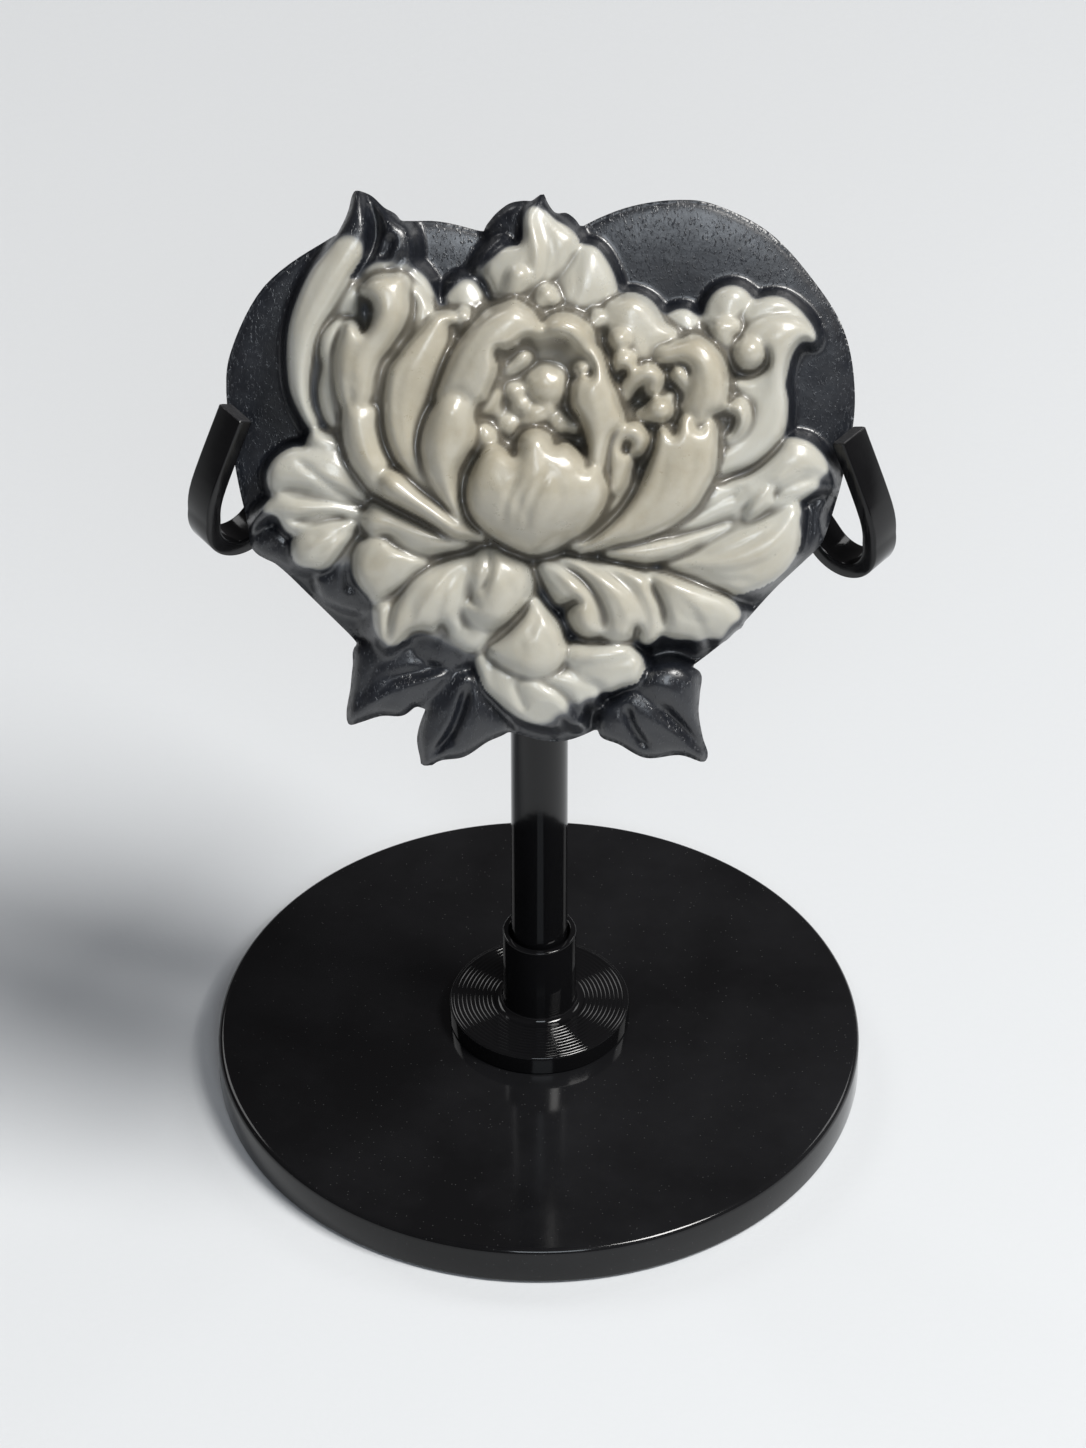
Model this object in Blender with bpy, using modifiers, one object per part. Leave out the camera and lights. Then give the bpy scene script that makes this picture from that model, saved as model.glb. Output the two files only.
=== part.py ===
"""Peony relief carved in two-layer stone, standing in the claws of its black display stand.

The stone is one solid: a thin heart-shaped plate with leaves and a big open flower raised on
it. It leans back in two strip claws, whose arms run behind it to a hub on a round post. The
post stands in a flanged collar on a disc base. Metres, +Z up, the origin under the middle of
the base, and the flower looks along -Y.
"""
import math

import bmesh
import bpy
import numpy as np

MM = 0.001
FIT_GAP = 0.3 * MM

# Base disc
BASE_RADIUS = 46.0 * MM
BASE_THICKNESS = 6.0 * MM
BASE_TOP_ROUND = 0.9 * MM
BASE_FOOT_ROUND = 0.5 * MM

# Post and the collar it stands in; both sit behind the middle of the base
POST_RADIUS = 4.0 * MM
POST_SETBACK = 3.0 * MM
POST_EDGE_ROUND = 0.3 * MM
COLLAR_FLANGE_RADIUS = 12.9 * MM
COLLAR_FLANGE_HEIGHT = 2.9 * MM
COLLAR_FLANGE_ROUND = 0.4 * MM
COLLAR_FOOT_FLARE = 0.9 * MM
COLLAR_WALL = 0.95 * MM
COLLAR_HEIGHT = 16.0 * MM
COLLAR_LIP_ROUND = 0.25 * MM

# Hub and the two strip arms of the cradle
HUB_WALL = 3.0 * MM
HUB_HEIGHT = 9.0 * MM
HUB_ROOF = 2.0 * MM
HUB_EDGE_ROUND = 0.5 * MM
STRIP_WIDTH = 4.8 * MM
STRIP_THICKNESS = 2.2 * MM
STRIP_EDGE_ROUND = 0.3 * MM
CLAW_SADDLE_RADIUS = 4.9 * MM
CLAW_SHOULDER_RADIUS = 3.5 * MM
CLAW_LEG_HEIGHT = 14.6 * MM
CLAW_LEG_LEAN = math.radians(20.0)
CLAW_RISE_LEFT = 6.4 * MM
CLAW_RISE_RIGHT = 7.9 * MM
CLAW_SADDLE_DROP = 2.7 * MM
CLAW_BACK_LEAN = math.radians(45.0)
CLAW_FOOT_LEAN_SHARE = 0.4
CLAW_KNEE_SHARE = 0.3
CLAW_KNEE_LEAN_SHARE = 0.45
CLAW_TIP_LEAN_SHARE = 1.25

# The carved stone
RELIEF_WIDTH = 81.4 * MM
RELIEF_LEAN = math.radians(25.0)
RELIEF_CENTRE_HEIGHT = 120.8 * MM
RELIEF_FORWARD = 30.0 * MM
PLATE_THICKNESS = 3.0 * MM
CLAW_GRIP_HEIGHT = 3.5 * MM
CLAW_GAP_LEFT = 0.9 * MM
CLAW_GAP_RIGHT = 2.1 * MM

RIM_ROUND = 3.2 * MM
RIM_TOP = 2.2 * MM
RIM_FLAT = 0.15 * MM

# The carving is cut on a grid with this step, in drawn units, and then keeps this share
GRID_STEP = 0.6
TRIANGLE_SHARE = 0.115
# The chisel came from a little above: every raised point moves up the plate by this share
CHISEL_SLOPE = 0.23
RIM_STEPS_ALONG = 1
RIM_STEPS_UP = 4

TURN_STEPS = 48

# Outline of the heart-shaped plate, in drawn units, and the part of the plane that is drawn
PLATE_OUTLINE = (
    (-2, 38.5), (-6.6, 39.3), (-13.5, 40.6), (-22, 39.4), (-28, 37), (-34.9, 31.5), (-38.9, 23.6),
    (-39.7, 17.4), (-38.4, 7), (-36.3, -2), (-35.5, -4), (-33, -5.3), (-28.2, -9.9), (-23.5, -14.5),
    (-20, -18), (-12, -24), (-3, -27), (4, -28.4), (10, -26), (17, -21), (23.6, -16), (28.1, -11.6),
    (32.3, -6.7), (36.5, -2.4), (38.6, 1), (41, 11), (41.7, 19), (40.1, 27.3), (35.6, 34.3),
    (30, 40.1), (23.3, 43.4), (18.6, 44), (13, 43.2), (8, 41.3), (2, 38),
)
FIELD_LOW = (-43.0, -36.0)
FIELD_HIGH = (45.0, 48.0)


def smooth_path(points, closed, steps=6):
    """Run a Catmull-Rom curve through the points, with steps samples to each span."""
    pts = np.asarray(points, dtype=float)
    count = len(pts)
    spans = count if closed else count - 1
    out = []
    for i in range(spans):
        if closed:
            a, b, c, d = (pts[(i + k - 1) % count] for k in range(4))
        else:
            a, b, c, d = (pts[min(max(i + k - 1, 0), count - 1)] for k in range(4))
        for t in np.arange(steps) / steps:
            out.append(0.5 * (2 * b + (c - a) * t + (2 * a - 5 * b + 4 * c - d) * t ** 2
                              + (3 * b - a - 3 * c + d) * t ** 3))
    if not closed:
        out.append(pts[-1])
    return np.array(out)


def nearest_on_path(points, path, closed=False):
    """Distance to the path, side of it (left is +1), share of its length and the third value there."""
    ends = np.roll(path, -1, axis=0) if closed else path[1:]
    starts = path if closed else path[:-1]
    lengths = np.hypot(*(ends - starts)[:, :2].T)
    run = np.concatenate([[0.0], np.cumsum(lengths)])
    best = np.full(len(points), 1e9)
    side = np.zeros(len(points))
    share = np.zeros(len(points))
    value = np.zeros(len(points))
    for i, (a, b) in enumerate(zip(starts, ends)):
        if lengths[i] < 1e-9:
            continue
        ab = (b - a)[:2]
        ap = points - a[:2]
        t = np.clip(ap @ ab / lengths[i] ** 2, 0.0, 1.0)
        gap = ap - t[:, None] * ab
        dist = np.hypot(gap[:, 0], gap[:, 1])
        near = dist < best - 1e-9
        best[near] = dist[near]
        side[near] = np.sign(ab[0] * ap[near, 1] - ab[1] * ap[near, 0])
        share[near] = (run[i] + t[near] * lengths[i]) / run[-1]
        if path.shape[1] > 2:
            value[near] = a[2] + t[near] * (b[2] - a[2])
    return best, side, share, value


def depth_inside(points, loop):
    """Distance to a closed outline, positive inside it."""
    dist = nearest_on_path(points, loop, closed=True)[0]
    inside = np.zeros(len(points), dtype=bool)
    for a, b in zip(loop, np.roll(loop, -1, axis=0)):
        crosses = (a[1] > points[:, 1]) != (b[1] > points[:, 1])
        rise = b[1] - a[1] if abs(b[1] - a[1]) > 1e-12 else 1e-12
        inside ^= crosses & (points[:, 0] < a[0] + (b[0] - a[0]) * (points[:, 1] - a[1]) / rise)
    return np.where(inside, dist, -dist)


def box_blur(values, reach):
    """Average a grid over a square, three times over, which comes close to a round blur."""
    for axis in (0, 1) * 3:
        padded = np.pad(values, [(reach + 1, reach) if k == axis else (0, 0) for k in (0, 1)], mode="edge")
        total = np.cumsum(padded, axis=axis)
        high = np.take(total, range(2 * reach + 1, total.shape[axis]), axis=axis)
        low = np.take(total, range(0, total.shape[axis] - 2 * reach - 1), axis=axis)
        values = (high - low) / (2 * reach + 1)
    return values


def drawn_width(outline):
    """Width of the plate as it is drawn."""
    across = smooth_path(outline, True)[:, 0]
    return across.max() - across.min()


def drawn_rim(outline, v, side):
    """How far out the drawn plate's rim is at that height, on the left (-1) or right (1) side."""
    loop = smooth_path(outline, True)
    after = np.roll(loop, -1, axis=0)
    cross = (loop[:, 1] > v) != (after[:, 1] > v)
    share = (v - loop[cross, 1]) / (after[cross, 1] - loop[cross, 1])
    return float((side * (loop[cross, 0] + share * (after[cross, 0] - loop[cross, 0]))).max())


UNIT = RELIEF_WIDTH / drawn_width(PLATE_OUTLINE)


class Carving:
    """A field of heights over the plate, cut one form after another from the back to the front.

    It is drawn as the flower is seen from in front and a little above, in units of a
    millimetre on a stone of the drawn width.
    """

    WALL_SLOPE = 5.0
    JOIN_SLOPE = 2.2
    BEAD_SOFT = 0.7
    SWELL = 1.9
    POLISH = 0.55
    LIP_REACH = 0.8
    LIP_DROP = 0.8
    LIP_RISE = 3.0
    LIP_LEAST = 0.15
    SINK = 0.55
    SINK_REACH = 0.8
    SINK_FLOOR = 0.8
    FOOT_SOFT = 1.2
    FOOT_REACH = 0.5
    LAY_BLEND = 0.5
    LAST_POLISH = 0.25
    NOTHING = -9.0
    LOWEST = -1.5
    MARGIN = 4.0
    HOLLOW_MARGIN = 0.5
    STEP_EDGE = 0.35
    FOLD_FADE = 6.4

    def __init__(self, step):
        """Start with nothing above the plate."""
        self.step = step
        self.u = np.arange(FIELD_LOW[0], FIELD_HIGH[0], step)
        self.v = np.arange(FIELD_LOW[1], FIELD_HIGH[1], step)
        grid = np.meshgrid(self.u, self.v, indexing="ij")
        self.points = np.column_stack([grid[0].ravel(), grid[1].ravel()])
        self.height = np.full(len(self.points), self.NOTHING)
        self.depth = np.full(len(self.points), self.NOTHING)

    def near(self, loop, margin=MARGIN):
        """Points in a box round a path, as their indices and the box's shape."""
        start = np.array([self.u[0], self.v[0]])
        low = ((loop[:, :2].min(axis=0) - margin - start) / self.step).astype(int)
        high = ((loop[:, :2].max(axis=0) + margin - start) / self.step).astype(int) + 1
        rows = np.arange(max(low[0], 0), min(high[0], len(self.u)))
        columns = np.arange(max(low[1], 0), min(high[1], len(self.v)))
        return (rows[:, None] * len(self.v) + columns).ravel(), (len(rows), len(columns))

    def lay(self, where, form, depth):
        """Put a form over what is there: inside its outline it rules, outside it only adds."""
        old = self.height[where]
        beside = (depth < 0.0) & (old > self.SINK_FLOOR)
        under = self.SINK * np.exp(-(depth / self.SINK_REACH) ** 2)
        old = np.where(beside, np.maximum(old - under, self.SINK_FLOOR), old)
        blend = np.clip(depth / self.LAY_BLEND, 0.0, 1.0)
        sunk = old + (form - old) * blend * blend * (3.0 - 2.0 * blend)
        gap = np.clip(1.0 - np.abs(form - old) / self.FOOT_SOFT, 0.0, 1.0)
        foot = self.FOOT_SOFT * gap ** 2 / 4 * np.clip(-depth / self.FOOT_REACH, 0.0, 1.0)
        self.height[where] = np.where(form >= old, form, sunk) + foot
        self.depth[where] = np.maximum(self.depth[where], depth)

    def join(self, where, form, depth, soft):
        """Let a form flow into what is there, with a soft valley between them."""
        old = self.height[where]
        gap = np.clip(1.0 - np.abs(form - old) / soft, 0.0, 1.0)
        self.height[where] = np.maximum(form, old) + soft * gap ** 2 / 4
        self.depth[where] = np.maximum(self.depth[where], depth)

    def petal(self, outline, spine, crown=0.8, tilt=0.0, edge=(1.3, 1.7), folds=(), soft=0.0):
        """Carve a petal."""
        loop = smooth_path(outline, True)
        where, shape = self.near(loop)
        points = self.points[where]
        depth = depth_inside(points, loop)
        inner = np.maximum(depth, 0.0)
        off, side, _, level = nearest_on_path(points, smooth_path(spine, False))
        across = off / (off + inner + 1e-6)
        form = level + self.SWELL * crown * (1.0 - across ** 2) + tilt * side * across
        form = box_blur(form.reshape(shape), max(round(self.POLISH / self.step), 1)).ravel()
        for path, deep, wide in folds:
            form = form + self.fold(points, path, deep, wide)
        reach, drop = edge
        near_edge = np.clip(1.0 - inner / (self.LIP_REACH * reach), 0.0, 1.0)
        rise = np.clip((form - self.height[where]) / self.LIP_RISE, self.LIP_LEAST, 1.0)
        form = form - self.LIP_DROP * drop * rise * (1.0 - np.sqrt(1.0 - near_edge ** 2))
        form = form - (self.JOIN_SLOPE if soft else self.WALL_SLOPE) * (inner - depth)
        if soft:
            self.join(where, form, depth, soft)
        else:
            self.lay(where, form, depth)

    def hollow(self, outline, rim, floor, slope=2.0):
        """Cut a hollow under a curled tip or inside the cup, with sloping sides."""
        loop = smooth_path(outline, True)
        where, _ = self.near(loop, self.HOLLOW_MARGIN)
        depth = depth_inside(self.points[where], loop)
        sunk = floor + (rim - floor) * np.clip(1.0 - depth / slope, 0.0, 1.0) ** 2
        inside = depth > 0.0
        index = where[inside]
        self.height[index] = np.minimum(self.height[index], sunk[inside])

    def bead(self, u, v, radius, top):
        """Carve a round seed or the knob of a stamen, with its top at that height."""
        angle = np.arange(16) * math.tau / 16
        ring = np.column_stack([u + radius * np.cos(angle), v + radius * np.sin(angle)])
        where, _ = self.near(ring)
        off = np.hypot(*(self.points[where] - (u, v)).T)
        dome = np.sqrt(np.clip(1.0 - (off / radius) ** 2, 0.0, 1.0))
        form = top - radius * (1.0 - dome) - self.WALL_SLOPE * np.maximum(off - radius, 0.0)
        self.join(where, form, radius - off, self.BEAD_SOFT)

    def stalk(self, path, radius):
        """Carve a round stalk along a path whose third value is the height of its back."""
        line = smooth_path(path, False)
        where, _ = self.near(line)
        off, _, _, level = nearest_on_path(self.points[where], line)
        dome = np.sqrt(np.clip(1.0 - (off / radius) ** 2, 0.0, 1.0))
        form = level - radius * (1.0 - dome) - self.WALL_SLOPE * np.maximum(off - radius, 0.0)
        self.join(where, form, radius - off, self.BEAD_SOFT)

    def crease(self, path, deep, wide):
        """Cut a groove over everything already there."""
        where, _ = self.near(smooth_path(path, False))
        self.height[where] += self.fold(self.points[where], path, deep, wide)

    def polish(self):
        """Take the last roughness off the whole carving."""
        grid = np.maximum(self.height, self.LOWEST).reshape(len(self.u), len(self.v))
        self.height = box_blur(grid, round(self.LAST_POLISH / self.step)).ravel()

    @classmethod
    def fold(cls, points, path, deep, wide):
        """Height that a fold adds: a groove, or a step up on the left of its path."""
        off, side, share, _ = nearest_on_path(points, smooth_path(path, False))
        fade = np.clip(cls.FOLD_FADE * share * (1.0 - share), 0.0, 1.0)
        if wide < 0.0:
            return deep * 0.5 * np.tanh(side * off / cls.STEP_EDGE) * np.exp(off / wide) * fade
        return -deep * np.exp(-(off / wide) ** 2) * fade


def carve_plate_and_leaves(c):
    """The heart-shaped plate, its two shoulders and the leaves under the flower."""
    c.petal(PLATE_OUTLINE, [(0, -20, 0), (0, 30, 0)], crown=0.0, edge=(1.2, 1.0))
    c.petal([(-36.3, -0.5), (-36.5, -2.5), (-35.5, -4), (-33, -5.2), (-30.5, -6), (-30.5, -2),
             (-34.5, 0.2)], [(-32, -2, 2.2), (-35.5, -2.5, 1)], crown=0.3)
    c.petal([(-22, -15.5), (-22.9, -18.8), (-23.2, -21.7), (-23.7, -24.9), (-23.4, -26.7),
             (-22, -26.4), (-19.1, -25.4), (-16.3, -25.3), (-14.5, -24), (-13, -24),
             (-9, -20.5), (-8, -17.5), (-14, -14)],
            [(-10, -18, 2.8), (-16, -19.5, 2.6), (-20, -22, 2.1), (-23, -26, 0.9)],
            folds=[([(-9, -18.3), (-12, -18.8), (-17, -20.2), (-20, -22), (-22.6, -25.6)], 1.5, -2.2)])
    c.petal([(-8, -18.5), (-11, -21.5), (-13.2, -24.2), (-14.4, -28), (-14, -31), (-13.5, -32.7),
             (-11.4, -31.3), (-8.2, -30.7), (-5.2, -28.6), (-2.3, -26.9), (-3, -24), (-6, -20)],
            [(-7.5, -20, 3.2), (-9, -26, 2.6), (-13.3, -32, 0.7)],
            folds=[([(-7.6, -20.5), (-8.8, -25), (-10.3, -28), (-12.9, -31.3)], 1.1, 0.6)])
    c.petal([(12.5, -21.5), (14.5, -19), (16.5, -17.7), (19.5, -17.4), (22.5, -18.5),
             (22.5, -21.5), (22.4, -24), (23, -27.3), (23.7, -29.5), (23.1, -30.7),
             (20, -29.8), (15.6, -30.3), (12.1, -28.5), (9.5, -27.3), (9.5, -24)],
            [(12, -20, 3.2), (17, -23.5, 2.8), (23.2, -30, 0.7)], crown=1.0,
            folds=[([(12.9, -23), (13.6, -25.5), (15.2, -28), (16.3, -28.8)], 1.3, 0.6)])
    c.petal([(14.6, -18.8), (16.5, -17.6), (19, -17.2), (21, -18.3), (22.2, -20.5), (22.3, -24),
             (23, -28.4), (20, -26), (16.5, -23.4), (13.2, -20.9)],
            [(14.5, -20, 3.2), (18.6, -20.4, 3.9), (22, -26, 1.8)], edge=(1.4, 1.4))
    c.petal([(27, -8), (30, -7.5), (33.3, -5), (35, -3.7), (36.6, -2.4), (38.2, -0.2), (38, 3),
             (39.3, 6), (36, 5), (35, 2), (33, -3.5), (30, -6)],
            [(30, -6.5, 1.6), (36.5, -1, 1.8), (38, 5, 1.8)], crown=0.3)


def carve_top_petals(c):
    """The flame-shaped petals and round lobes above the cup."""
    c.petal([(-6.3, 39), (-5.7, 40.8), (-4.3, 42.3), (-2.8, 43.2), (-0.5, 43.3), (1, 42),
             (3, 41.8), (4.2, 41.9), (5.8, 40.2), (5.5, 37), (-3, 36)],
            [(-1, 38, 1.5), (-1.5, 42, 1)])
    c.petal([(-11.6, 29.5), (-11.8, 31), (-11, 32.7), (-9.5, 33.8), (-7.8, 34.1), (-6.5, 33.5),
             (-5.7, 31.5), (-5.2, 29.5), (-5.5, 26.5), (-9, 25.5)],
            [(-7, 26, 4.5), (-8.5, 30, 4.2), (-9, 33, 3)], edge=(1.5, 2))
    c.petal([(-8, 34.2), (-7.3, 35.8), (-6, 37.4), (-4.5, 38.5), (-3.1, 38.3), (-3.2, 37),
             (-4.5, 35), (-5.5, 32.5), (-7, 33.3)], [(-4.5, 33, 4.6), (-6, 36, 3.9)], crown=0.5)
    c.petal([(1.2, 44.5), (1.2, 44.5), (0, 43.6), (-1, 42.5), (-1.4, 40.5), (-1.3, 38.6),
             (-2, 37.5), (-3.6, 37.2), (-5, 36), (-6, 34), (-5.2, 31), (-3, 27), (4, 27),
             (6.5, 33), (6, 37), (5.8, 38.6), (4, 40.8), (2.5, 42), (1.6, 43.3)],
            [(0, 28, 6), (0.6, 34, 6), (0.3, 39, 5.5), (0.9, 43, 3.2)], crown=0.6,
            folds=[([(0.9, 43.6), (0, 41.2), (0.5, 39), (1.3, 36.5), (1, 33.5), (-0.6, 31)], -1.5, -2.2),
                   ([(5.8, 37.8), (4.5, 35), (3, 33), (2, 31)], 0.8, 0.5)])
    c.petal([(5.6, 37.6), (7, 38.1), (8.3, 37.6), (9.6, 36), (10.6, 33.8), (11.1, 31.2), (11, 28),
             (6, 26), (2.5, 29), (3.5, 33.5)], [(5, 28, 5.5), (7, 33, 5.2), (8, 36.8, 4)],
            edge=(1.5, 1.8))
    c.petal([(16.4, 28.2), (17.8, 29.6), (19.5, 30), (21, 29.3), (22.4, 28.2), (22.5, 25),
             (18, 24.5)], [(20, 25, 5), (19.5, 28.5, 4)])
    c.petal([(21.8, 28.5), (22.3, 31), (23.8, 32.6), (25.8, 33.1), (27.5, 32.4), (28.7, 31),
             (29, 28), (26, 24), (22.5, 24.5)], [(25, 25, 5), (25.5, 31, 4.2)], crown=1.0)
    c.petal([(28.4, 30.8), (30, 31.6), (32, 31.6), (33.8, 30.6), (35.3, 29.2), (36.2, 27.2),
             (33, 25), (28, 25), (26.5, 28)], [(28.5, 27, 5.2), (31, 30, 4.6), (34.5, 28.5, 4)])
    c.petal([(22.8, 7), (26, 8), (29, 9.3), (31.5, 11.5), (32.8, 14), (33, 17.5), (32.7, 20),
             (32.9, 23), (33.6, 24.8), (34.8, 25.9), (36.2, 25.6), (36.3, 26.8), (35.3, 28),
             (33.6, 28.8), (31, 28.8), (28.5, 27.8), (26.6, 26), (25, 22), (23.5, 16)],
            [(24, 9, 6), (28.5, 14, 5.6), (31.5, 20, 5.8), (32, 25.5, 7), (35.5, 26.9, 5.6)],
            crown=0.6)
    c.hollow([(25.2, 22.5), (25.8, 20.7), (28, 20.2), (30.2, 21.6), (30.6, 23.5), (29.5, 25.4),
              (26.5, 25.2)], 6.0, 3.2)
    c.stalk([(24.6, 24.2, 6.8), (24.5, 25.6, 7.8), (24.4, 26.9, 8.2)], 1.5)
    c.bead(25.6, 27.2, 1.0, 7.8)
    c.bead(27.9, 24, 2.0, 9.0)
    c.petal([(24.8, 16.2), (25.6, 17.6), (26.8, 18), (27.9, 17), (28.1, 15.2), (27.4, 13.5),
             (26, 12.3), (25, 12.2)], [(25.5, 12.8, 6.5), (27, 15.5, 8)], edge=(1.0, 1.5))
    c.hollow([(24.8, 15.6), (26.2, 16), (26.6, 14.8), (26, 13.2), (24.9, 13)], 7.0, 5.0)


def carve_left_petals(c):
    """The tall curled petals and lobes on the left."""
    c.petal([(-25.3, 38.2), (-24.3, 39.5), (-23.8, 41.2), (-23.4, 43.2), (-22.9, 44.1),
             (-22.1, 44.1), (-20.8, 43.5), (-19.3, 42.1), (-17.3, 40.6), (-17, 36), (-20, 32),
             (-25, 33)], [(-21.5, 34, 3), (-21.2, 42, 2)], crown=0.1)
    c.petal([(-21.1, 43.3), (-20.6, 43.3), (-19.3, 42.1), (-17.3, 40.6), (-15.8, 39.5),
             (-15.1, 37.3), (-15.1, 35.3), (-14.2, 34.2), (-12.9, 32.5), (-12, 29.9),
             (-12, 28), (-18, 27), (-22, 30), (-22.8, 32.5), (-21.6, 34.5), (-20.5, 36),
             (-19.8, 38), (-19.8, 40.5), (-20.5, 42.3)],
            [(-17, 29, 4.6), (-17.6, 34, 4.6), (-17.8, 38, 4.2), (-20, 42.3, 2.8)],
            folds=[([(-18.1, 38.6), (-18.6, 36.4), (-19.8, 35.2)], 1.3, 0.55),
                   ([(-16.6, 36.2), (-17.4, 34.6), (-18.6, 33.6)], 0.7, 0.45),
                   ([(-15.4, 34.6), (-16, 33.6), (-17, 33)], 0.5, 0.4)])
    c.petal([(-24.2, 32.3), (-21.5, 31.8), (-20.5, 27), (-23, 20), (-24, 12), (-27, 11),
             (-28.6, 16), (-28.7, 21), (-27.6, 25), (-26, 29)],
            [(-25.5, 12, 3.6), (-26.5, 20, 3.8), (-23.5, 30, 5)], crown=0.3)
    c.petal([(-22.8, 44.3), (-23.4, 43.6), (-23.8, 41.8), (-24.5, 40), (-26.3, 36.6),
             (-28.5, 33.6), (-30.2, 30), (-31.3, 26.3), (-31.6, 22.3), (-31.3, 18),
             (-30.1, 14.8), (-28.2, 11.5), (-27, 11.5), (-27.4, 13.5), (-28.4, 16),
             (-28.7, 19), (-28.2, 22.5), (-27, 26), (-25, 30), (-22.8, 33.8), (-21.5, 36),
             (-21, 38.5), (-21.3, 41), (-22, 43.3)],
            [(-28.5, 13, 4.5), (-30, 19, 5.3), (-29.5, 26, 5.8), (-26, 32.5, 6), (-23, 38, 5.4),
             (-22.8, 43.3, 3.4)], crown=0.5, tilt=-0.6)
    c.petal([(-23.3, 27), (-25.3, 27), (-26.9, 25.3), (-27.3, 23.2), (-26.8, 21), (-27.3, 18),
             (-27, 15.5), (-26, 13), (-24.5, 11), (-23.5, 12), (-23.5, 20), (-22.5, 25)],
            [(-24.5, 12, 5), (-25.5, 18, 5.8), (-25, 24, 6.2)], crown=0.3)
    c.petal([(-29.1, 10.5), (-28.9, 11.5), (-28, 12.6), (-26.5, 12.5), (-24, 11.3), (-22, 8),
             (-25, 6), (-29, 8)], [(-24, 8, 6.2), (-27.5, 11.3, 5.4)])
    c.petal([(-29, 10.2), (-31, 10.2), (-33, 8.8), (-34.1, 6.8), (-34, 5), (-33, 3.6),
             (-30, 3.5), (-23, 2.5), (-20, 2.5), (-21, 5), (-23.5, 9)],
            [(-21, 4, 6.8), (-26, 6.2, 6), (-32, 6.8, 4.4)], tilt=-0.4)
    c.petal([(-22, 0), (-24.5, -3.5), (-26.3, -6), (-28, -6.5), (-27.8, -8.2), (-26.8, -9.9),
             (-25, -10.9), (-22.8, -11.6), (-21, -11.5), (-20, -8), (-21, -3)],
            [(-22, -1.5, 5), (-24, -6, 3.8), (-25.3, -9.8, 2.6)], crown=0.5,
            folds=[([(-22.6, -4), (-23.6, -6), (-23, -9)], 0.9, 0.6)])
    c.petal([(-33.2, 3.8), (-35, 2.2), (-36, 0.6), (-36.1, -0.8), (-34.6, 0.3), (-33, 1),
             (-32.2, -0.2), (-31, -1.3), (-29, -1.2), (-25, -0.5), (-21.5, 0), (-20.5, 1.5),
             (-22, 3), (-25, 3.9), (-28, 4), (-31, 4.4)],
            [(-21.5, 1.2, 6.8), (-26, 2.2, 6.2), (-31, 2.4, 5.2), (-35.5, 0, 3.5)], crown=0.5,
            folds=[([(-23, 1), (-25.5, 1.5), (-28, 1.1), (-31, 0.2)], 1.0, 0.55)])
    c.petal([(-30.4, -1.5), (-30.9, -3.2), (-30.5, -4.8), (-29.4, -5.8), (-27.8, -6.1),
             (-26.3, -5.7), (-24.8, -4), (-23, -1.5), (-22, 0.2), (-23.5, 1), (-27, 0)],
            [(-22.8, 0.2, 6.5), (-26, -2, 6), (-29.3, -4, 4.2)], crown=0.9,
            folds=[([(-24, -0.2), (-26, -1), (-28.4, -1.8)], 0.5, 0.5)])


def carve_lower_petals(c):
    """The petals that hang below the middle."""
    c.petal([(-16, -14.5), (-15.3, -15.6), (-14, -17), (-12.5, -18.1), (-10.5, -18.7),
             (-8.5, -18.6), (-6.8, -17.8), (-5.5, -15.5), (-10, -12)],
            [(-9, -14, 4.5), (-11, -17, 3.4)], crown=0.5)
    c.petal([(-11, -12.5), (-10.3, -13.8), (-9.5, -15.2), (-8, -16.1), (-6.3, -16.4),
             (-4.8, -15.8), (-3, -14), (-1, -11.5), (-4, -9), (-9, -10)],
            [(-5, -11, 6.2), (-7, -15, 4.8)], crown=0.6)
    c.petal([(-6.8, -17.3), (-6.3, -19.5), (-5.5, -21.3), (-4, -22.8), (-2.5, -24.2),
             (-0.5, -25.6), (2.3, -26.4), (4.3, -26.4), (4.5, -25.3), (5.6, -26), (6.9, -26.2),
             (7.4, -24.4), (8.2, -23.1), (9.2, -23.3), (9.8, -21.8), (11, -20.5), (12, -18),
             (5, -15), (-4, -15)], [(2, -16, 6), (2, -20, 5.5), (3, -25, 3.6)], crown=0.6,
            folds=[([(1.5, -20), (4, -21.2), (6, -23.3), (6.9, -25.6)], 1.1, 0.55),
                   ([(-1.6, -19.8), (-1, -22), (0.2, -24.5)], 0.8, 0.5)])
    c.petal([(4.2, -14.6), (8, -15), (11, -14.7), (13.2, -15), (14.6, -16.2), (15.2, -17.6),
             (14.9, -19.2), (14, -20.2), (12.3, -20.7), (10.8, -21.3), (10, -20.9), (9, -20.2),
             (7, -19.5), (4, -18)], [(5, -17, 6), (9, -17.5, 6), (14, -18, 4.8)], crown=0.6,
            folds=[([(4.7, -17.9), (7, -17.3), (10, -17.1), (12.5, -16.5), (14.2, -15.8)], 1.2, -1.6)])
    c.petal([(0.6, -8.5), (-0.6, -11), (-2.2, -13.2), (-4, -15), (-5, -16.1), (-4.4, -17),
             (-2.8, -18.2), (-1, -19.1), (1, -19.5), (3, -18.9), (4.4, -17.8), (4.9, -16.2),
             (4.8, -14.5), (4, -12.4), (2.6, -10.4), (1.4, -8.8)],
            [(0.9, -9.5, 7), (1, -13, 7.4), (0.3, -17.5, 6.2)], crown=0.9, edge=(1.4, 2.2),
            folds=[([(1, -10), (1, -12), (0.2, -14.5)], 0.5, 0.5)])


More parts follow.
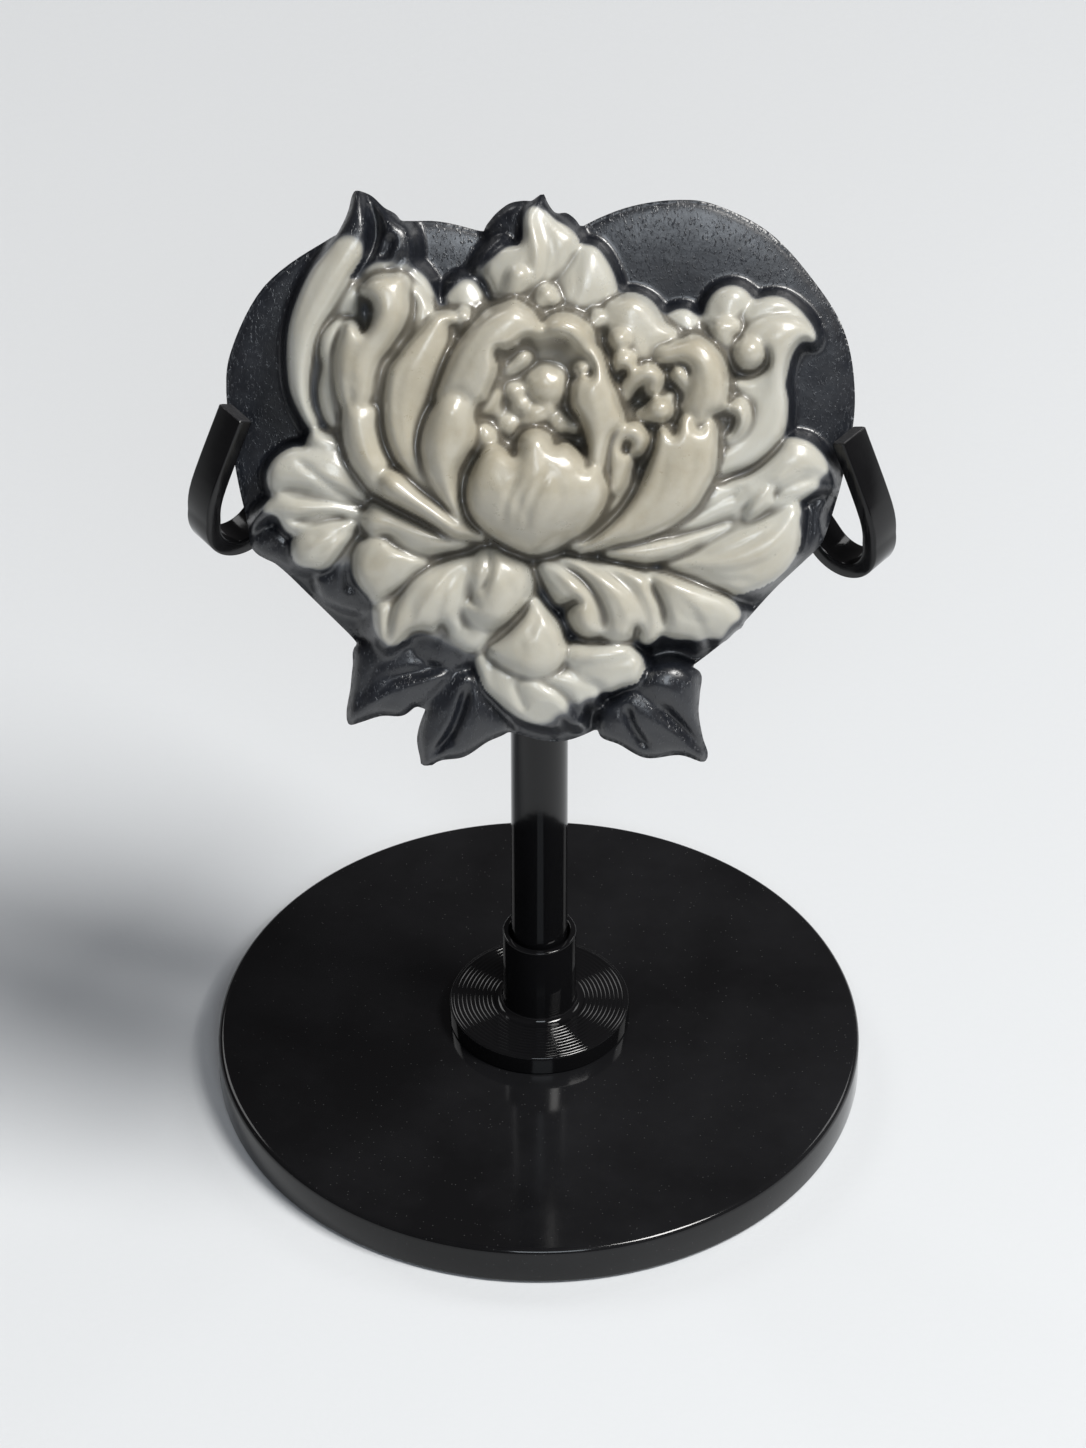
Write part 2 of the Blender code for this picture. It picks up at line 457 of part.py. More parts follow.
def carve_right_petals(c):
    """The layered petals that spread to the right."""
    c.petal([(14, -1), (18, 2), (22.6, 6.7), (25, 7.1), (28, 8), (30, 9.4), (31.6, 11),
             (32.9, 12.6), (33.6, 13.1), (36, 12.7), (38, 10.8), (39.4, 8.3), (39.7, 6.2),
             (37.5, 7), (35, 5.5), (31, 3), (26, 0), (20, -1.5)],
            [(15, -0.5, 6.5), (22, 3, 5.4), (29, 6, 4.9), (34, 9.5, 4.8), (38.5, 7.8, 3.2)])
    c.petal([(14, -0.8), (18, 2.5), (21, 5), (23.2, 6.9), (25.2, 6.2), (26.8, 5.6), (27.4, 5.3),
             (26.9, 3.7), (25.3, 2), (22, 0.6), (18, -0.4)],
            [(15.5, 0, 7), (20, 2.5, 6.5), (26, 4.4, 5.9)], crown=0.3, edge=(0.8, 1.1))
    c.petal([(27.9, 2), (28.4, 4), (29.6, 5.6), (31, 6.5), (31.3, 5), (30.6, 3.4), (29.2, 2.3)],
            [(28.6, 2.8, 6.8), (30.6, 5.6, 6.9)], edge=(0.9, 1.3))
    c.petal([(19, -1), (24, 0.9), (28, 2), (30.6, 4), (32.6, 5.7), (34.6, 7.2), (36.3, 8),
             (38.1, 7.6), (39.7, 6.2), (38.5, 5.9), (36.5, 5.6), (34.2, 4.2), (31, 2.9),
             (28, 1), (23.5, -1.2)],
            [(21, -0.6, 6.2), (28, 1.7, 5.9), (34, 5.6, 5.8), (38.6, 6.7, 3.9)], crown=0.5)
    c.petal([(9.5, -3), (12, -1.6), (15, -0.8), (19, -0.5), (23, 0.5), (26, 1.6), (24, -0.8),
             (22, -1.8), (20, -2.9), (17, -3.8), (14, -4)],
            [(10.5, -2.7, 7.2), (16, -2.2, 7), (24, 0.6, 5.9)], crown=0.5)
    c.petal([(17, -4.4), (19.5, -5.8), (22, -6.8), (25, -7.4), (27, -8), (29, -7.4), (31, -6.5),
             (33, -5), (34.4, -3), (35.2, -0.5), (35.4, 2), (35.3, 3.8), (33.6, 4.6), (31, 3),
             (28.5, 1.4), (25, -0.3), (22, -1.8), (20, -2.9)],
            [(19, -4, 6.2), (25, -3.5, 6.2), (31, -1, 5.6), (34.3, 2.5, 4.6)], crown=0.9,
            edge=(1.4, 1.9))
    c.petal([(13, -4.5), (17.5, -5.4), (20, -6.2), (23, -7.2), (25.5, -8.1), (27, -9.2),
             (28, -10.6), (27.9, -12.2), (27, -12.9), (25.4, -14.4), (23.5, -14.2),
             (22.3, -14.8), (21, -14.2), (19.5, -14), (18.3, -13.8), (17.2, -13.2),
             (17, -10.5), (16, -8), (15.3, -6.2)], [(15, -5.2, 7), (19, -8, 6.6), (26, -11.5, 4)],
            tilt=0.5)
    c.petal([(6, -3.3), (9, -3.8), (13, -4.8), (15.3, -6), (16, -7.8), (17, -10), (17.3, -12.6),
             (16.9, -14), (16, -14.8), (15, -14.7), (14.4, -13.6), (14.8, -11.5), (14, -8.9),
             (11.5, -6.8), (8.5, -5)], [(9, -4.3, 7.4), (14, -7.2, 7.1), (16, -13.5, 5.2)],
            crown=0.3, tilt=0.5)
    c.petal([(2.5, -3.5), (6, -3.4), (8.5, -4.7), (11.5, -6.4), (14, -8.4), (15.2, -10.5),
             (15.3, -12.8), (14.5, -12.4), (13.8, -12.8), (13.2, -14), (11.5, -14.7),
             (9.8, -14.3), (9, -13.6), (9.4, -12), (8.6, -9.2), (7, -6.8), (4.5, -4.8)],
            [(4, -3.9, 7), (9.5, -7, 7), (12, -13, 5.2)], crown=0.9, tilt=0.5, soft=1)
    c.petal([(1, -4.2), (0.6, -5), (1.6, -6.6), (3.2, -8.6), (4.2, -9.4), (5.9, -9.2),
             (6.6, -9.4), (5.7, -10.2), (5.4, -11.3), (6, -12.8), (7.2, -13.8), (8.2, -13.9),
             (9.2, -13.5), (9.5, -12), (9.1, -10), (7.9, -7.8), (6, -5.9), (3.5, -4.2),
             (2, -3.7)], [(2, -4.5, 7), (5.5, -7.5, 7.4), (7.3, -12.5, 5.6)], crown=0.9, tilt=0.5, soft=1)


def carve_ruffled_petals(c):
    """The ruffled petals in front, below the cup."""
    c.petal([(-20, -0.8), (-21.8, -2), (-22.7, -4), (-22.7, -6), (-22, -7.8), (-20.8, -9.2),
             (-19.8, -10), (-16, -8), (-12, -4.5), (-10, -2.5), (-15, -1)],
            [(-12, -3.2, 7.6), (-17, -3.8, 7), (-21.3, -6, 5.2)], crown=1, edge=(1.8, 2.4))
    c.petal([(-12, -4.6), (-15, -6.5), (-17.5, -9), (-19.9, -10.4), (-20, -12), (-19.7, -14),
             (-19.2, -15.8), (-18.4, -16.6), (-17.3, -16), (-16, -14.9), (-15, -13.9),
             (-13.5, -13.6), (-12.2, -13.6), (-11, -12.6), (-10, -12.9), (-9.2, -13),
             (-8.6, -11), (-6, -6), (-7, -3)],
            [(-8.5, -4, 7.8), (-12, -8, 7.2), (-15, -13, 5)], crown=1.1, edge=(1.5, 2), soft=1.4,
            folds=[([(-11.5, -4.4), (-14.3, -6.3), (-16.5, -8), (-17.6, -10.5), (-18, -13.5),
                     (-18.2, -16)], 1.4, 0.8)])
    c.petal([(-8.8, -10), (-8.2, -11.4), (-7, -12.5), (-5.3, -13.1), (-3.3, -12.7),
             (-1.4, -11.4), (0, -9.5), (0.5, -7.3), (0.2, -5.2), (-0.6, -3.8), (-2, -2.5),
             (-4, -1.6), (-6, -1.4), (-7.5, -3), (-8.3, -5.5), (-7.5, -8)],
            [(-4.5, -2.3, 7.8), (-4.2, -6, 8), (-4.2, -11, 6)], crown=1.2, edge=(1.7, 2.4), soft=1.2,
            folds=[([(-5.3, -2), (-4.9, -4), (-5, -6), (-5.9, -7.8), (-6.8, -7.8)], 1.0, 0.5),
                   ([(-7.5, -8.5), (-6.9, -9.9), (-6, -9.7)], 0.8, 0.45)])
    c.crease([(-19, -0.8), (-17.5, -2.2), (-15, -3.4), (-12, -3.9), (-9, -3.2), (-6, -1.9)], 1.1, 0.5)
    c.petal([(-21.5, 0.4), (-21, 2), (-20, 3.2), (-18.8, 3), (-16, 1.8), (-12, 0.2), (-8, -1),
             (-5.5, -1.6), (-8, -2.6), (-12, -3), (-15, -2.4), (-18, -1), (-20.3, -1)],
            [(-6.5, -1.6, 8.4), (-12, -1.3, 8.4), (-19.8, 1, 6.6)], edge=(1.2, 1.6), soft=0.9)


def carve_tongues(c):
    """The long tongues that wrap the cup on its left."""
    c.petal([(-16.2, 33), (-14.7, 31.8), (-12.9, 29.6), (-12, 27.6), (-12.4, 25.5), (-14, 23),
             (-16, 21), (-19, 19), (-19.6, 21), (-18, 23.7), (-16.6, 26), (-15.9, 29),
             (-16.4, 32)], [(-18, 20, 7.4), (-14.5, 26, 7.6), (-14.2, 31, 6.4)], crown=0.6,
            folds=[([(-15.2, 31), (-14.6, 27.8), (-15.5, 26), (-17.5, 23.5)], 0.9, 0.45),
                   ([(-14, 30.3), (-13.5, 28), (-14, 26), (-15.4, 24.2)], 0.5, 0.4)])
    c.petal([(-21.5, 31.5), (-20, 32.8), (-18, 33.1), (-16.3, 32.8), (-15.9, 30.5),
             (-15.8, 28.5), (-16.6, 26), (-18, 23.6), (-19.3, 21.2), (-19.8, 17), (-20, 13),
             (-22.5, 12), (-24.2, 15.5), (-24.9, 18.5), (-25.1, 21.5), (-24.7, 24),
             (-23.6, 26.6), (-22.4, 26.3), (-21.6, 25.2), (-20.6, 26.8), (-20.1, 28.3),
             (-20.4, 29.6), (-21.3, 30.4)],
            [(-21.5, 13, 8), (-22.5, 19, 8.6), (-21, 24, 9), (-18.3, 28, 9.8), (-19.5, 31.8, 9)])
    c.hollow([(-22.4, 30.3), (-21.2, 30.2), (-20.4, 29.2), (-20.5, 27.2), (-21.4, 25.8),
              (-22.3, 26.8), (-22.8, 28.4)], 5.5, 2.8)
    c.petal([(-17.3, 22.3), (-18.7, 21.4), (-19.7, 19.3), (-19.9, 16.5), (-19.8, 14), (-19.2, 11),
             (-17.8, 8), (-15.5, 5.5), (-13, 3.2), (-14.5, 6), (-16.6, 9), (-18, 12),
             (-18.5, 15), (-18.4, 18), (-17.7, 20.6), (-17, 21.9)],
            [(-14, 4.4, 9.2), (-18.4, 10, 8.4), (-19.3, 16, 8.2), (-17.7, 21.7, 8)], crown=0.3,
            edge=(0.8, 1.0))
    c.petal([(-10.9, 28.1), (-12.2, 28.1), (-14.2, 25.7), (-16, 23.5), (-17.8, 21), (-18.5, 18),
             (-18.6, 15), (-18.2, 12), (-17, 9), (-15.3, 6.5), (-12.5, 3.6), (-8.5, 0.5),
             (-8.5, 4), (-11, 7.5), (-13, 11), (-13.2, 14), (-12, 17.3), (-11, 20),
             (-10.2, 22.8), (-10.3, 25.5)],
            [(-9.5, 1.8, 10), (-14.5, 8.5, 10), (-16, 15, 9.8), (-14, 21.5, 9.8),
             (-11.2, 27.3, 8.8)], crown=0.6, tilt=0.5)
    c.petal([(-22.8, 19), (-23.6, 17.3), (-24, 15), (-24.1, 13), (-23.8, 10.8), (-23, 8.5),
             (-21.8, 6.6), (-20, 4.6), (-17, 2.8), (-13, 0.8), (-9, -0.6), (-10, 1.6),
             (-13, 3.6), (-15.5, 5.6), (-17.4, 7.8), (-18.9, 10.5), (-19.7, 13.5),
             (-19.7, 15.4), (-20.4, 16.2), (-21.3, 16), (-22, 15.6), (-22.5, 16.5)],
            [(-11, 0.8, 9), (-16.5, 4.5, 9), (-20.5, 8.5, 8.8), (-21.8, 14, 8.4), (-22.7, 18.2, 8)],
            crown=0.9)
    c.petal([(-19.1, 6.4), (-18.4, 7.3), (-17.4, 7.5), (-16, 6.9), (-13.5, 4.6), (-10.5, 2.3),
             (-8, 0.7), (-6, -0.6), (-5.5, -1.3), (-7.5, -1.2), (-10, -0.8), (-13.5, 1.4),
             (-16.5, 3), (-18.5, 4.1), (-19.2, 5.2)],
            [(-6.3, -0.9, 9.8), (-11, 1.2, 10.4), (-17.6, 5.7, 10)], crown=1.2, edge=(1.1, 1.6))


def carve_stamen_bed(c):
    """The bed of curled stamens on the right of the cup."""
    c.petal([(9.2, 28.8), (10.4, 30.3), (12.5, 31.1), (14.6, 30.4), (16, 28.9), (17, 27.6),
             (18.4, 26.7), (19, 25.4), (18, 22), (17, 17), (13, 15), (10.5, 18), (9.6, 23)],
            [(13, 17, 7.5), (12.8, 23, 8.3), (12.8, 29, 8)], crown=0.7)
    c.petal([(16.1, 22.4), (16.4, 24.2), (17.7, 24.7), (19, 25.4), (21, 25.9), (23, 24.9),
             (24.5, 22.9), (25.1, 20), (25.1, 17.5), (24.5, 16.3), (23, 15.2), (22.3, 13.5),
             (20.8, 13.7), (19.5, 15), (18.8, 16.5), (19.6, 18), (20.2, 20), (20.1, 21.8),
             (18.6, 22.3), (17.5, 21)],
            [(21.3, 14.5, 9.2), (22.6, 18, 10.3), (22, 22.5, 10.6), (18.5, 23.8, 9.8)],
            edge=(1.5, 2.1))
    c.hollow([(10.3, 22), (10.8, 23.6), (13, 23), (15.6, 22.4), (18.4, 22.3), (20, 21.6),
              (20.2, 19.5), (19.3, 17), (18.5, 14.5), (16, 13), (13, 13.8), (11.2, 16)], 9.0, 5.6)
    c.stalk([(11.7, 22.6, 9.4), (11.5, 24, 10.4), (11.4, 25.2, 10.8)], 0.8)
    c.bead(11.4, 25.3, 1.25, 11.3)
    c.bead(12, 22.4, 1.55, 11.7)
    c.stalk([(12.6, 21.6, 11.2), (13.2, 20.6, 10.6)], 0.85)
    c.hollow([(11.3, 21.2), (12, 21.6), (12.5, 20.9), (12, 20.2), (11.4, 20.3)], 10.0, 7.5, 0.6)
    c.stalk([(11.5, 16.6, 8.6), (12.1, 18.6, 9.8), (13.4, 20.2, 11), (14.9, 21, 11.5),
             (15.9, 20.4, 11.3), (15.7, 19.1, 10.3)], 1.05)
    c.stalk([(20.4, 18, 9.2), (20, 19.6, 10.2), (19, 21, 11)], 0.95)
    c.bead(17.8, 17.9, 1.1, 9)
    c.stalk([(13.4, 14.8, 8.6), (14.8, 15.4, 10), (16.4, 16.2, 11)], 1.1)
    c.bead(16.7, 16.2, 1.65, 11.6)
    c.petal([(12.8, 9.5), (13.3, 7), (12.6, 5), (10.5, 2), (8, -0.5), (6, -2.2), (5.5, -1.8),
             (8, 0.8), (9.5, 3), (9.9, 5.5), (9.8, 9), (11, 10.5)],
            [(7, -1.5, 9), (11, 4, 9.2), (12, 8.5, 9)], crown=0.2)
    c.petal([(16.4, 13.4), (17.2, 13.9), (17.9, 13.6), (18.3, 12.7), (18.9, 13.4), (19.1, 14.8),
             (19.8, 15.6), (20.7, 15.3), (21.3, 14.2), (22, 13.8), (22.6, 14.6), (23.4, 15.4),
             (23.9, 13.5), (23.9, 11), (23.6, 8.5), (23, 6.8), (21.5, 4), (19.5, 2), (17, 0.4),
             (14, -0.9), (11, -1.6), (8, -2.4), (6.5, -2.4), (8.5, -1), (11.5, 1.8),
             (13.5, 4.5), (15, 7.5), (15.9, 10.5)],
            [(8, -2, 9.5), (14, 1.5, 10), (18.5, 6, 10.6), (20.3, 12, 11), (20.5, 14.5, 10.4)],
            crown=0.4, tilt=0.6)
    c.hollow([(13.2, 10.3), (14.6, 10.8), (15.6, 13.4), (16.3, 13), (15.7, 10.5), (14.8, 7.8),
              (13.4, 5.2), (13.2, 7)], 8.0, 4.5)
    c.petal([(9.7, 9), (9.8, 11), (10.1, 12.6), (11, 13.8), (12.5, 14.3), (13.8, 13.9),
             (14.7, 14), (14.9, 12.6), (14.6, 11.3), (13.8, 10.6), (12.9, 10.5), (13.2, 9.3),
             (12.5, 7), (11.5, 5.3), (10, 5)],
            [(10.8, 6, 10), (11.3, 10.5, 10.6), (13.8, 12.6, 10.6)], crown=0.6)
    c.hollow([(11.7, 12.4), (12.9, 12.3), (13.7, 11.4), (13.4, 10.3), (12.2, 10), (11.5, 11)],
             10.6, 8.6, 1.2)
    c.stalk([(10.6, 8, 10.6), (10.8, 11, 11.4), (11.7, 13, 12), (13.2, 13.4, 12.1),
             (14.2, 12.4, 11.8), (13.8, 11.2, 11)], 0.95)


def carve_cup(c):
    """The cup, its seeds and the petals that close it."""
    c.petal([(1, 26), (1.8, 27.4), (3.4, 28.2), (5.1, 28.1), (6.8, 27.2), (7.8, 25.8), (8, 24),
             (7, 20), (0, 20)], [(2, 22, 12.6), (4.3, 26.8, 13.2)], crown=0.6, edge=(1.6, 2.2))
    c.petal([(-12.2, 16.8), (-11.3, 19.5), (-10, 22.5), (-8.5, 24.9), (-6.8, 26.9), (-5, 28.4),
             (-3.5, 29.2), (-2.2, 29.7), (-1, 29.3), (0.4, 28.3), (1.4, 27), (1.5, 25.8),
             (3, 22), (4, 14), (0, 8), (-9, 12), (-12, 14)],
            [(-9.8, 15, 12), (-8, 20, 13.4), (-5.5, 24, 14.2), (-2, 27, 14), (0.5, 26.9, 13)],
            edge=(1.6, 2.4))
    c.hollow([(-4.6, 22.4), (-4.3, 23.8), (-3.2, 23.8), (-2, 24.5), (-0.7, 25.5), (0.6, 25.6),
              (3, 25.9), (5, 25.3), (6.3, 24), (7.6, 22.8), (8, 20), (7.5, 16), (7.6, 11),
              (4, 9), (-2, 8), (-6.6, 9.5), (-7, 13), (-6.9, 16.2), (-5.8, 17.4), (-4.9, 19.4),
              (-4.3, 21.2)], 12.6, 8.2, 3.4)
    c.petal([(-4.4, 21), (-2.8, 21.9), (-1, 23.4), (0, 23.1), (-0.4, 21.9), (-2, 20.6),
             (-3.6, 20.1)], [(-3.6, 20.8, 9.8), (-0.7, 22.6, 11)], crown=0.5, edge=(0.7, 0.9))
    c.petal([(-6.6, 15.4), (-5.4, 17.3), (-4.2, 19), (-3.7, 17.8), (-4.3, 16), (-5.7, 15)],
            [(-5.8, 15.6, 10.6), (-4.3, 18, 10.8)], crown=0.5, edge=(0.7, 0.9))
    for u, v, radius, top in ((-4.4, 15.6, 1.1, 10.2), (-1.9, 18.2, 1.3, 11), (2.1, 19.1, 3, 11.7),
                              (-1, 16.5, 1.3, 10.9), (0.9, 15.3, 1.6, 11), (0.2, 14.2, 1.5, 10.8),
                              (3.8, 14.2, 1.7, 10.7), (5.7, 13.8, 1.2, 10.3), (-2.6, 13.8, 1.8, 10.5),
                              (-4.6, 13, 1.1, 10.2), (2.4, 16.1, 0.8, 10.8)):
        c.bead(u, v, radius, top)
    c.petal([(6.4, 24), (7.4, 24.5), (8.5, 24.1), (9.3, 22.5), (9.9, 20.5), (10.8, 18.4),
             (11.4, 16.5), (12, 14.5), (10.5, 12.8), (9.8, 10), (9.6, 7.5), (8, 6), (7.3, 9),
             (7.6, 11), (7.3, 13), (6.5, 15), (5.6, 16.3), (5.4, 17.6), (5.6, 19.4),
             (6.6, 20.4), (7.8, 20.2), (8.1, 21.5), (7.6, 23)],
            [(8.6, 8, 12.3), (8.8, 13, 12.9), (8, 18, 13.1), (8.6, 22, 12.7), (7.3, 24, 12)],
            crown=0.6)
    c.bead(6.7, 21.3, 1.0, 12.2)
    c.petal([(-7.2, 13.2), (-6.2, 14.1), (-5, 13.6), (-4, 12.2), (-3.3, 10.8), (-5, 9.5),
             (-7.3, 10)], [(-5, 10.3, 11.2), (-6, 13, 11.2)], crown=0.5)
    c.petal([(-13.7, 12), (-13, 14.4), (-12, 16.1), (-10.5, 17.5), (-9, 17.8), (-7.9, 16.8),
             (-7.3, 15), (-6.8, 13), (-7.1, 11), (-8, 9.2), (-8.8, 7.5), (-8.9, 5), (-8.3, 2.2),
             (-6.5, -0.8), (-8.5, 0.4), (-11.2, 3.9), (-13.1, 7.2), (-13.8, 10)],
            [(-7, -0.3, 10), (-9.8, 4.5, 11), (-11, 9, 12.6), (-9.8, 15, 13.4)], crown=1.0,
            edge=(1.7, 2.4))
    c.petal([(-7.8, 4), (-7.6, 6.2), (-7, 8.2), (-6.2, 9.8), (-4.9, 10.9), (-3.3, 10.9),
             (-1.9, 9.9), (-1.5, 10.8), (-1.2, 12.1), (-0.2, 13.1), (1.5, 13.3), (2.9, 12.4),
             (3.4, 11.4), (4.6, 11.6), (6, 10.8), (7.2, 9.6), (7.6, 8.5), (8.6, 8.3), (9.5, 7.2),
             (9.9, 5.2), (9.4, 3), (8, 0.8), (6, -0.9), (3.5, -2.4), (1, -3.1), (-1.5, -2.8),
             (-4, -1.5), (-6.3, 0.4), (-7.5, 2.3)],
            [(1, -2, 9.4), (1, 1.5, 12.8), (1, 6, 14.4), (0.8, 11.5, 13.6)], crown=1.2,
            edge=(2.0, 3.0), folds=[([(-3, 0), (-2.6, 4), (-0.6, 8)], 0.35, 0.5),
                                    ([(-1.5, 0), (-1.2, 3.5), (0.6, 7)], 0.3, 0.5),
                                    ([(-0.2, 0.2), (0.6, 3.8), (3, 8.4)], 0.35, 0.6)])
    c.petal([(6.2, 6), (6.7, 7.5), (7.8, 8.5), (9, 8.1), (9.8, 6.5), (9.9, 4.8), (9, 3.5),
             (7.5, 4.3)], [(8.6, 4.5, 12.2), (7.9, 7.4, 13.2)], crown=0.6, soft=0.6)


def carve_buds(c):
    """The small buds that stand between the cup and the top petals."""
    c.stalk([(-9.2, 24.6, 6.5), (-9, 26.4, 7.8), (-8.7, 27.8, 8.4)], 1.15)
    c.stalk([(-3, 29.2, 7), (-2.3, 31.4, 8.2), (-1.7, 33.2, 8.6)], 1.5)
    c.stalk([(0.2, 27.8, 7.5), (0.9, 29.3, 8.4), (1.9, 31, 8.8)], 1.15)
    c.bead(2.5, 30.3, 0.95, 8.6)
    c.stalk([(7.2, 25.8, 8), (7.9, 27, 8.8), (8.6, 28, 8.8)], 1.15)
    c.bead(-10.6, 27.6, 0.7, 9.2)


def carve(step):
    """Cut the whole flower, from the plate up to the cup."""
    c = Carving(step)
    carve_plate_and_leaves(c)
    carve_top_petals(c)
    carve_left_petals(c)
    carve_lower_petals(c)
    carve_right_petals(c)
    carve_ruffled_petals(c)
    carve_tongues(c)
    carve_stamen_bed(c)
    carve_cup(c)
    carve_buds(c)
    c.polish()
    return c


def place_on_plate(u, v, h):
    """World place of a point of the carving, in carving units, after the chisel's slope."""
    up = (v + CHISEL_SLOPE * h) * UNIT
    out = h * UNIT
    sin, cos = math.sin(RELIEF_LEAN), math.cos(RELIEF_LEAN)
    return np.column_stack([u * UNIT, -RELIEF_FORWARD + up * sin - out * cos,
                            RELIEF_CENTRE_HEIGHT + up * cos + out * sin])


def relief_mesh(step):
    """Close the carved field into one solid: front, back, and a rim where they meet."""
    c = carve(step)
    shape = (len(c.u), len(c.v))
    depth = c.depth.reshape(shape)
    slope_u, slope_v = np.gradient(depth, step)
    steep = np.maximum(np.hypot(slope_u, slope_v), 0.5)
    cells = whole_cells(depth > -0.4 * step)
    around = np.zeros((shape[0] + 1, shape[1] + 1), dtype=int)
    around[1:-1, 1:-1] = cells
    touching = around[:-1, :-1] + around[1:, :-1] + around[1:, 1:] + around[:-1, 1:]
    used = touching > 0
    border = used & (touching < 4)
    u, v = np.meshgrid(c.u, c.v, indexing="ij")
    shift = np.where(border, depth / steep, 0.0)
    u = even_out(u - shift * slope_u / steep, border, RIM_STEPS_ALONG)
    v = even_out(v - shift * slope_v / steep, border, RIM_STEPS_ALONG)
    front = c.height.reshape(shape).copy()
    back_level = -PLATE_THICKNESS / UNIT
    flat = RIM_FLAT / UNIT
    shore = front + Carving.WALL_SLOPE * np.maximum(-depth, 0.0)
    rim = even_out(np.clip(shore, back_level / 2, RIM_TOP / UNIT), border, RIM_STEPS_UP)
    rise = np.clip(1.0 - np.maximum(depth, 0.0) / (RIM_ROUND / UNIT), 0.0, 1.0) ** 2
    back = back_level + (np.minimum(rim, shore) - back_level) * rise
    front = np.maximum(front, back + 2.0 * flat)
    front[border] = rim[border] + flat
    back[border] = rim[border] - flat
    order = -np.ones(shape, dtype=int)
    order[used] = np.arange(used.sum())
    verts = np.vstack([place_on_plate(u[used], v[used], front[used]),
                       place_on_plate(u[used], v[used], back[used])])
    behind = int(used.sum())
    faces = []
    filled = around[1:-1, 1:-1]
    for i, j in zip(*np.nonzero(filled)):
        ring = [(i, j), (i + 1, j), (i + 1, j + 1), (i, j + 1)]
        beside = [(i, j - 1), (i + 1, j), (i, j + 1), (i - 1, j)]
        front_ring = [int(order[k]) for k in ring]
        faces.append(front_ring)
        faces.append([k + behind for k in reversed(front_ring)])
        for k, cell in enumerate(beside):
            if around[cell[0] + 1, cell[1] + 1]:
                continue
            a, b = front_ring[k], front_ring[(k + 1) % 4]
            faces.append([b, a, a + behind, b + behind])
    return verts, faces


def even_out(values, members, rounds):
    """Average a grid's values among the members next to each other, and leave the rest."""
    weight = members.astype(float)
    for _ in range(rounds):
        total = np.zeros_like(values)
        count = np.zeros_like(values)
        for du in (-1, 0, 1):
            for dv in (-1, 0, 1):
                total += np.roll(values * weight, (du, dv), (0, 1))
                count += np.roll(weight, (du, dv), (0, 1))
        values = np.where(members, total / np.maximum(count, 1.0), values)
    return values


def whole_cells(inside):
    """Grid cells with all four corners inside, with cells added where two meet only at a corner."""
    cells = inside[:-1, :-1] & inside[1:, :-1] & inside[1:, 1:] & inside[:-1, 1:]
    while True:
        a, b, c, d = cells[:-1, :-1], cells[1:, :-1], cells[1:, 1:], cells[:-1, 1:]
        falling = a & c & ~b & ~d
        rising = b & d & ~a & ~c
        if not (falling.any() or rising.any()):
            return cells
        cells[1:, :-1] |= falling
        cells[:-1, :-1] |= rising


def new_material(name, colour, roughness, metallic=0.0):
    material = bpy.data.materials.new(name)
    material.use_nodes = True
    shader = material.node_tree.nodes["Principled BSDF"]
    shader.inputs["Base Color"].default_value = (*colour, 1.0)
    shader.inputs["Roughness"].default_value = roughness
    shader.inputs["Metallic"].default_value = metallic
    return material


def new_object(name, data, collection, material):
    obj = bpy.data.objects.new(name, data)
    collection.objects.link(obj)
    data.materials.append(material)
    return obj


def corner(radius, centre_r, centre_z, start, steps=3):
    """Points of a quarter round, clockwise from the angle start."""
    angles = [start - math.pi / 2 * k / steps for k in range(steps + 1)]
    return [(centre_r + radius * math.cos(a), centre_z + radius * math.sin(a)) for a in angles]


def turned(name, profile, collection, material, closed=False):
    """Turn a profile of radii and heights about the upright axis."""
    mesh = bpy.data.meshes.new(name)
    count = len(profile)
    edges = [(k, k + 1) for k in range(count - 1)]
    if closed:
        edges.append((count - 1, 0))
    mesh.from_pydata([(r, 0.0, z) for r, z in profile], edges, [])
    obj = new_object(name, mesh, collection, material)
    screw = obj.modifiers.new("Turn", "SCREW")
    screw.steps = TURN_STEPS
    screw.render_steps = TURN_STEPS
    screw.use_merge_vertices = True
    screw.merge_threshold = 0.00001
    screw.use_smooth_shade = True
    return obj


def build_base(collection, material):
    profile = [(0.0, BASE_THICKNESS)]
    profile += corner(BASE_TOP_ROUND, BASE_RADIUS - BASE_TOP_ROUND, BASE_THICKNESS - BASE_TOP_ROUND,
                      math.pi / 2)
    profile += corner(BASE_FOOT_ROUND, BASE_RADIUS - BASE_FOOT_ROUND, BASE_FOOT_ROUND, 0.0)
    profile.append((0.0, 0.0))
    return turned("stand_base", profile, collection, material)


def build_collar(collection, material):
    bore = POST_RADIUS + FIT_GAP
    tube = bore + COLLAR_WALL
    lip = COLLAR_LIP_ROUND
    edge = COLLAR_FLANGE_ROUND
    flare = COLLAR_FOOT_FLARE
    profile = [(bore, COLLAR_HEIGHT - lip), (bore + lip, COLLAR_HEIGHT), (tube - lip, COLLAR_HEIGHT),
               (tube, COLLAR_HEIGHT - lip)]
    for k in range(5):
        angle = math.pi / 2 * k / 4
        profile.append((tube + flare * (1.0 - math.cos(angle)),
                        COLLAR_FLANGE_HEIGHT + flare * (1.0 - math.sin(angle))))
    profile += corner(edge, COLLAR_FLANGE_RADIUS - edge, COLLAR_FLANGE_HEIGHT - edge, math.pi / 2, 2)
    profile += [(COLLAR_FLANGE_RADIUS, 0.0), (bore, 0.0)]
    obj = turned("stand_collar", profile, collection, material, closed=True)
    obj.location = (0.0, POST_SETBACK, BASE_THICKNESS + FIT_GAP)
    return obj


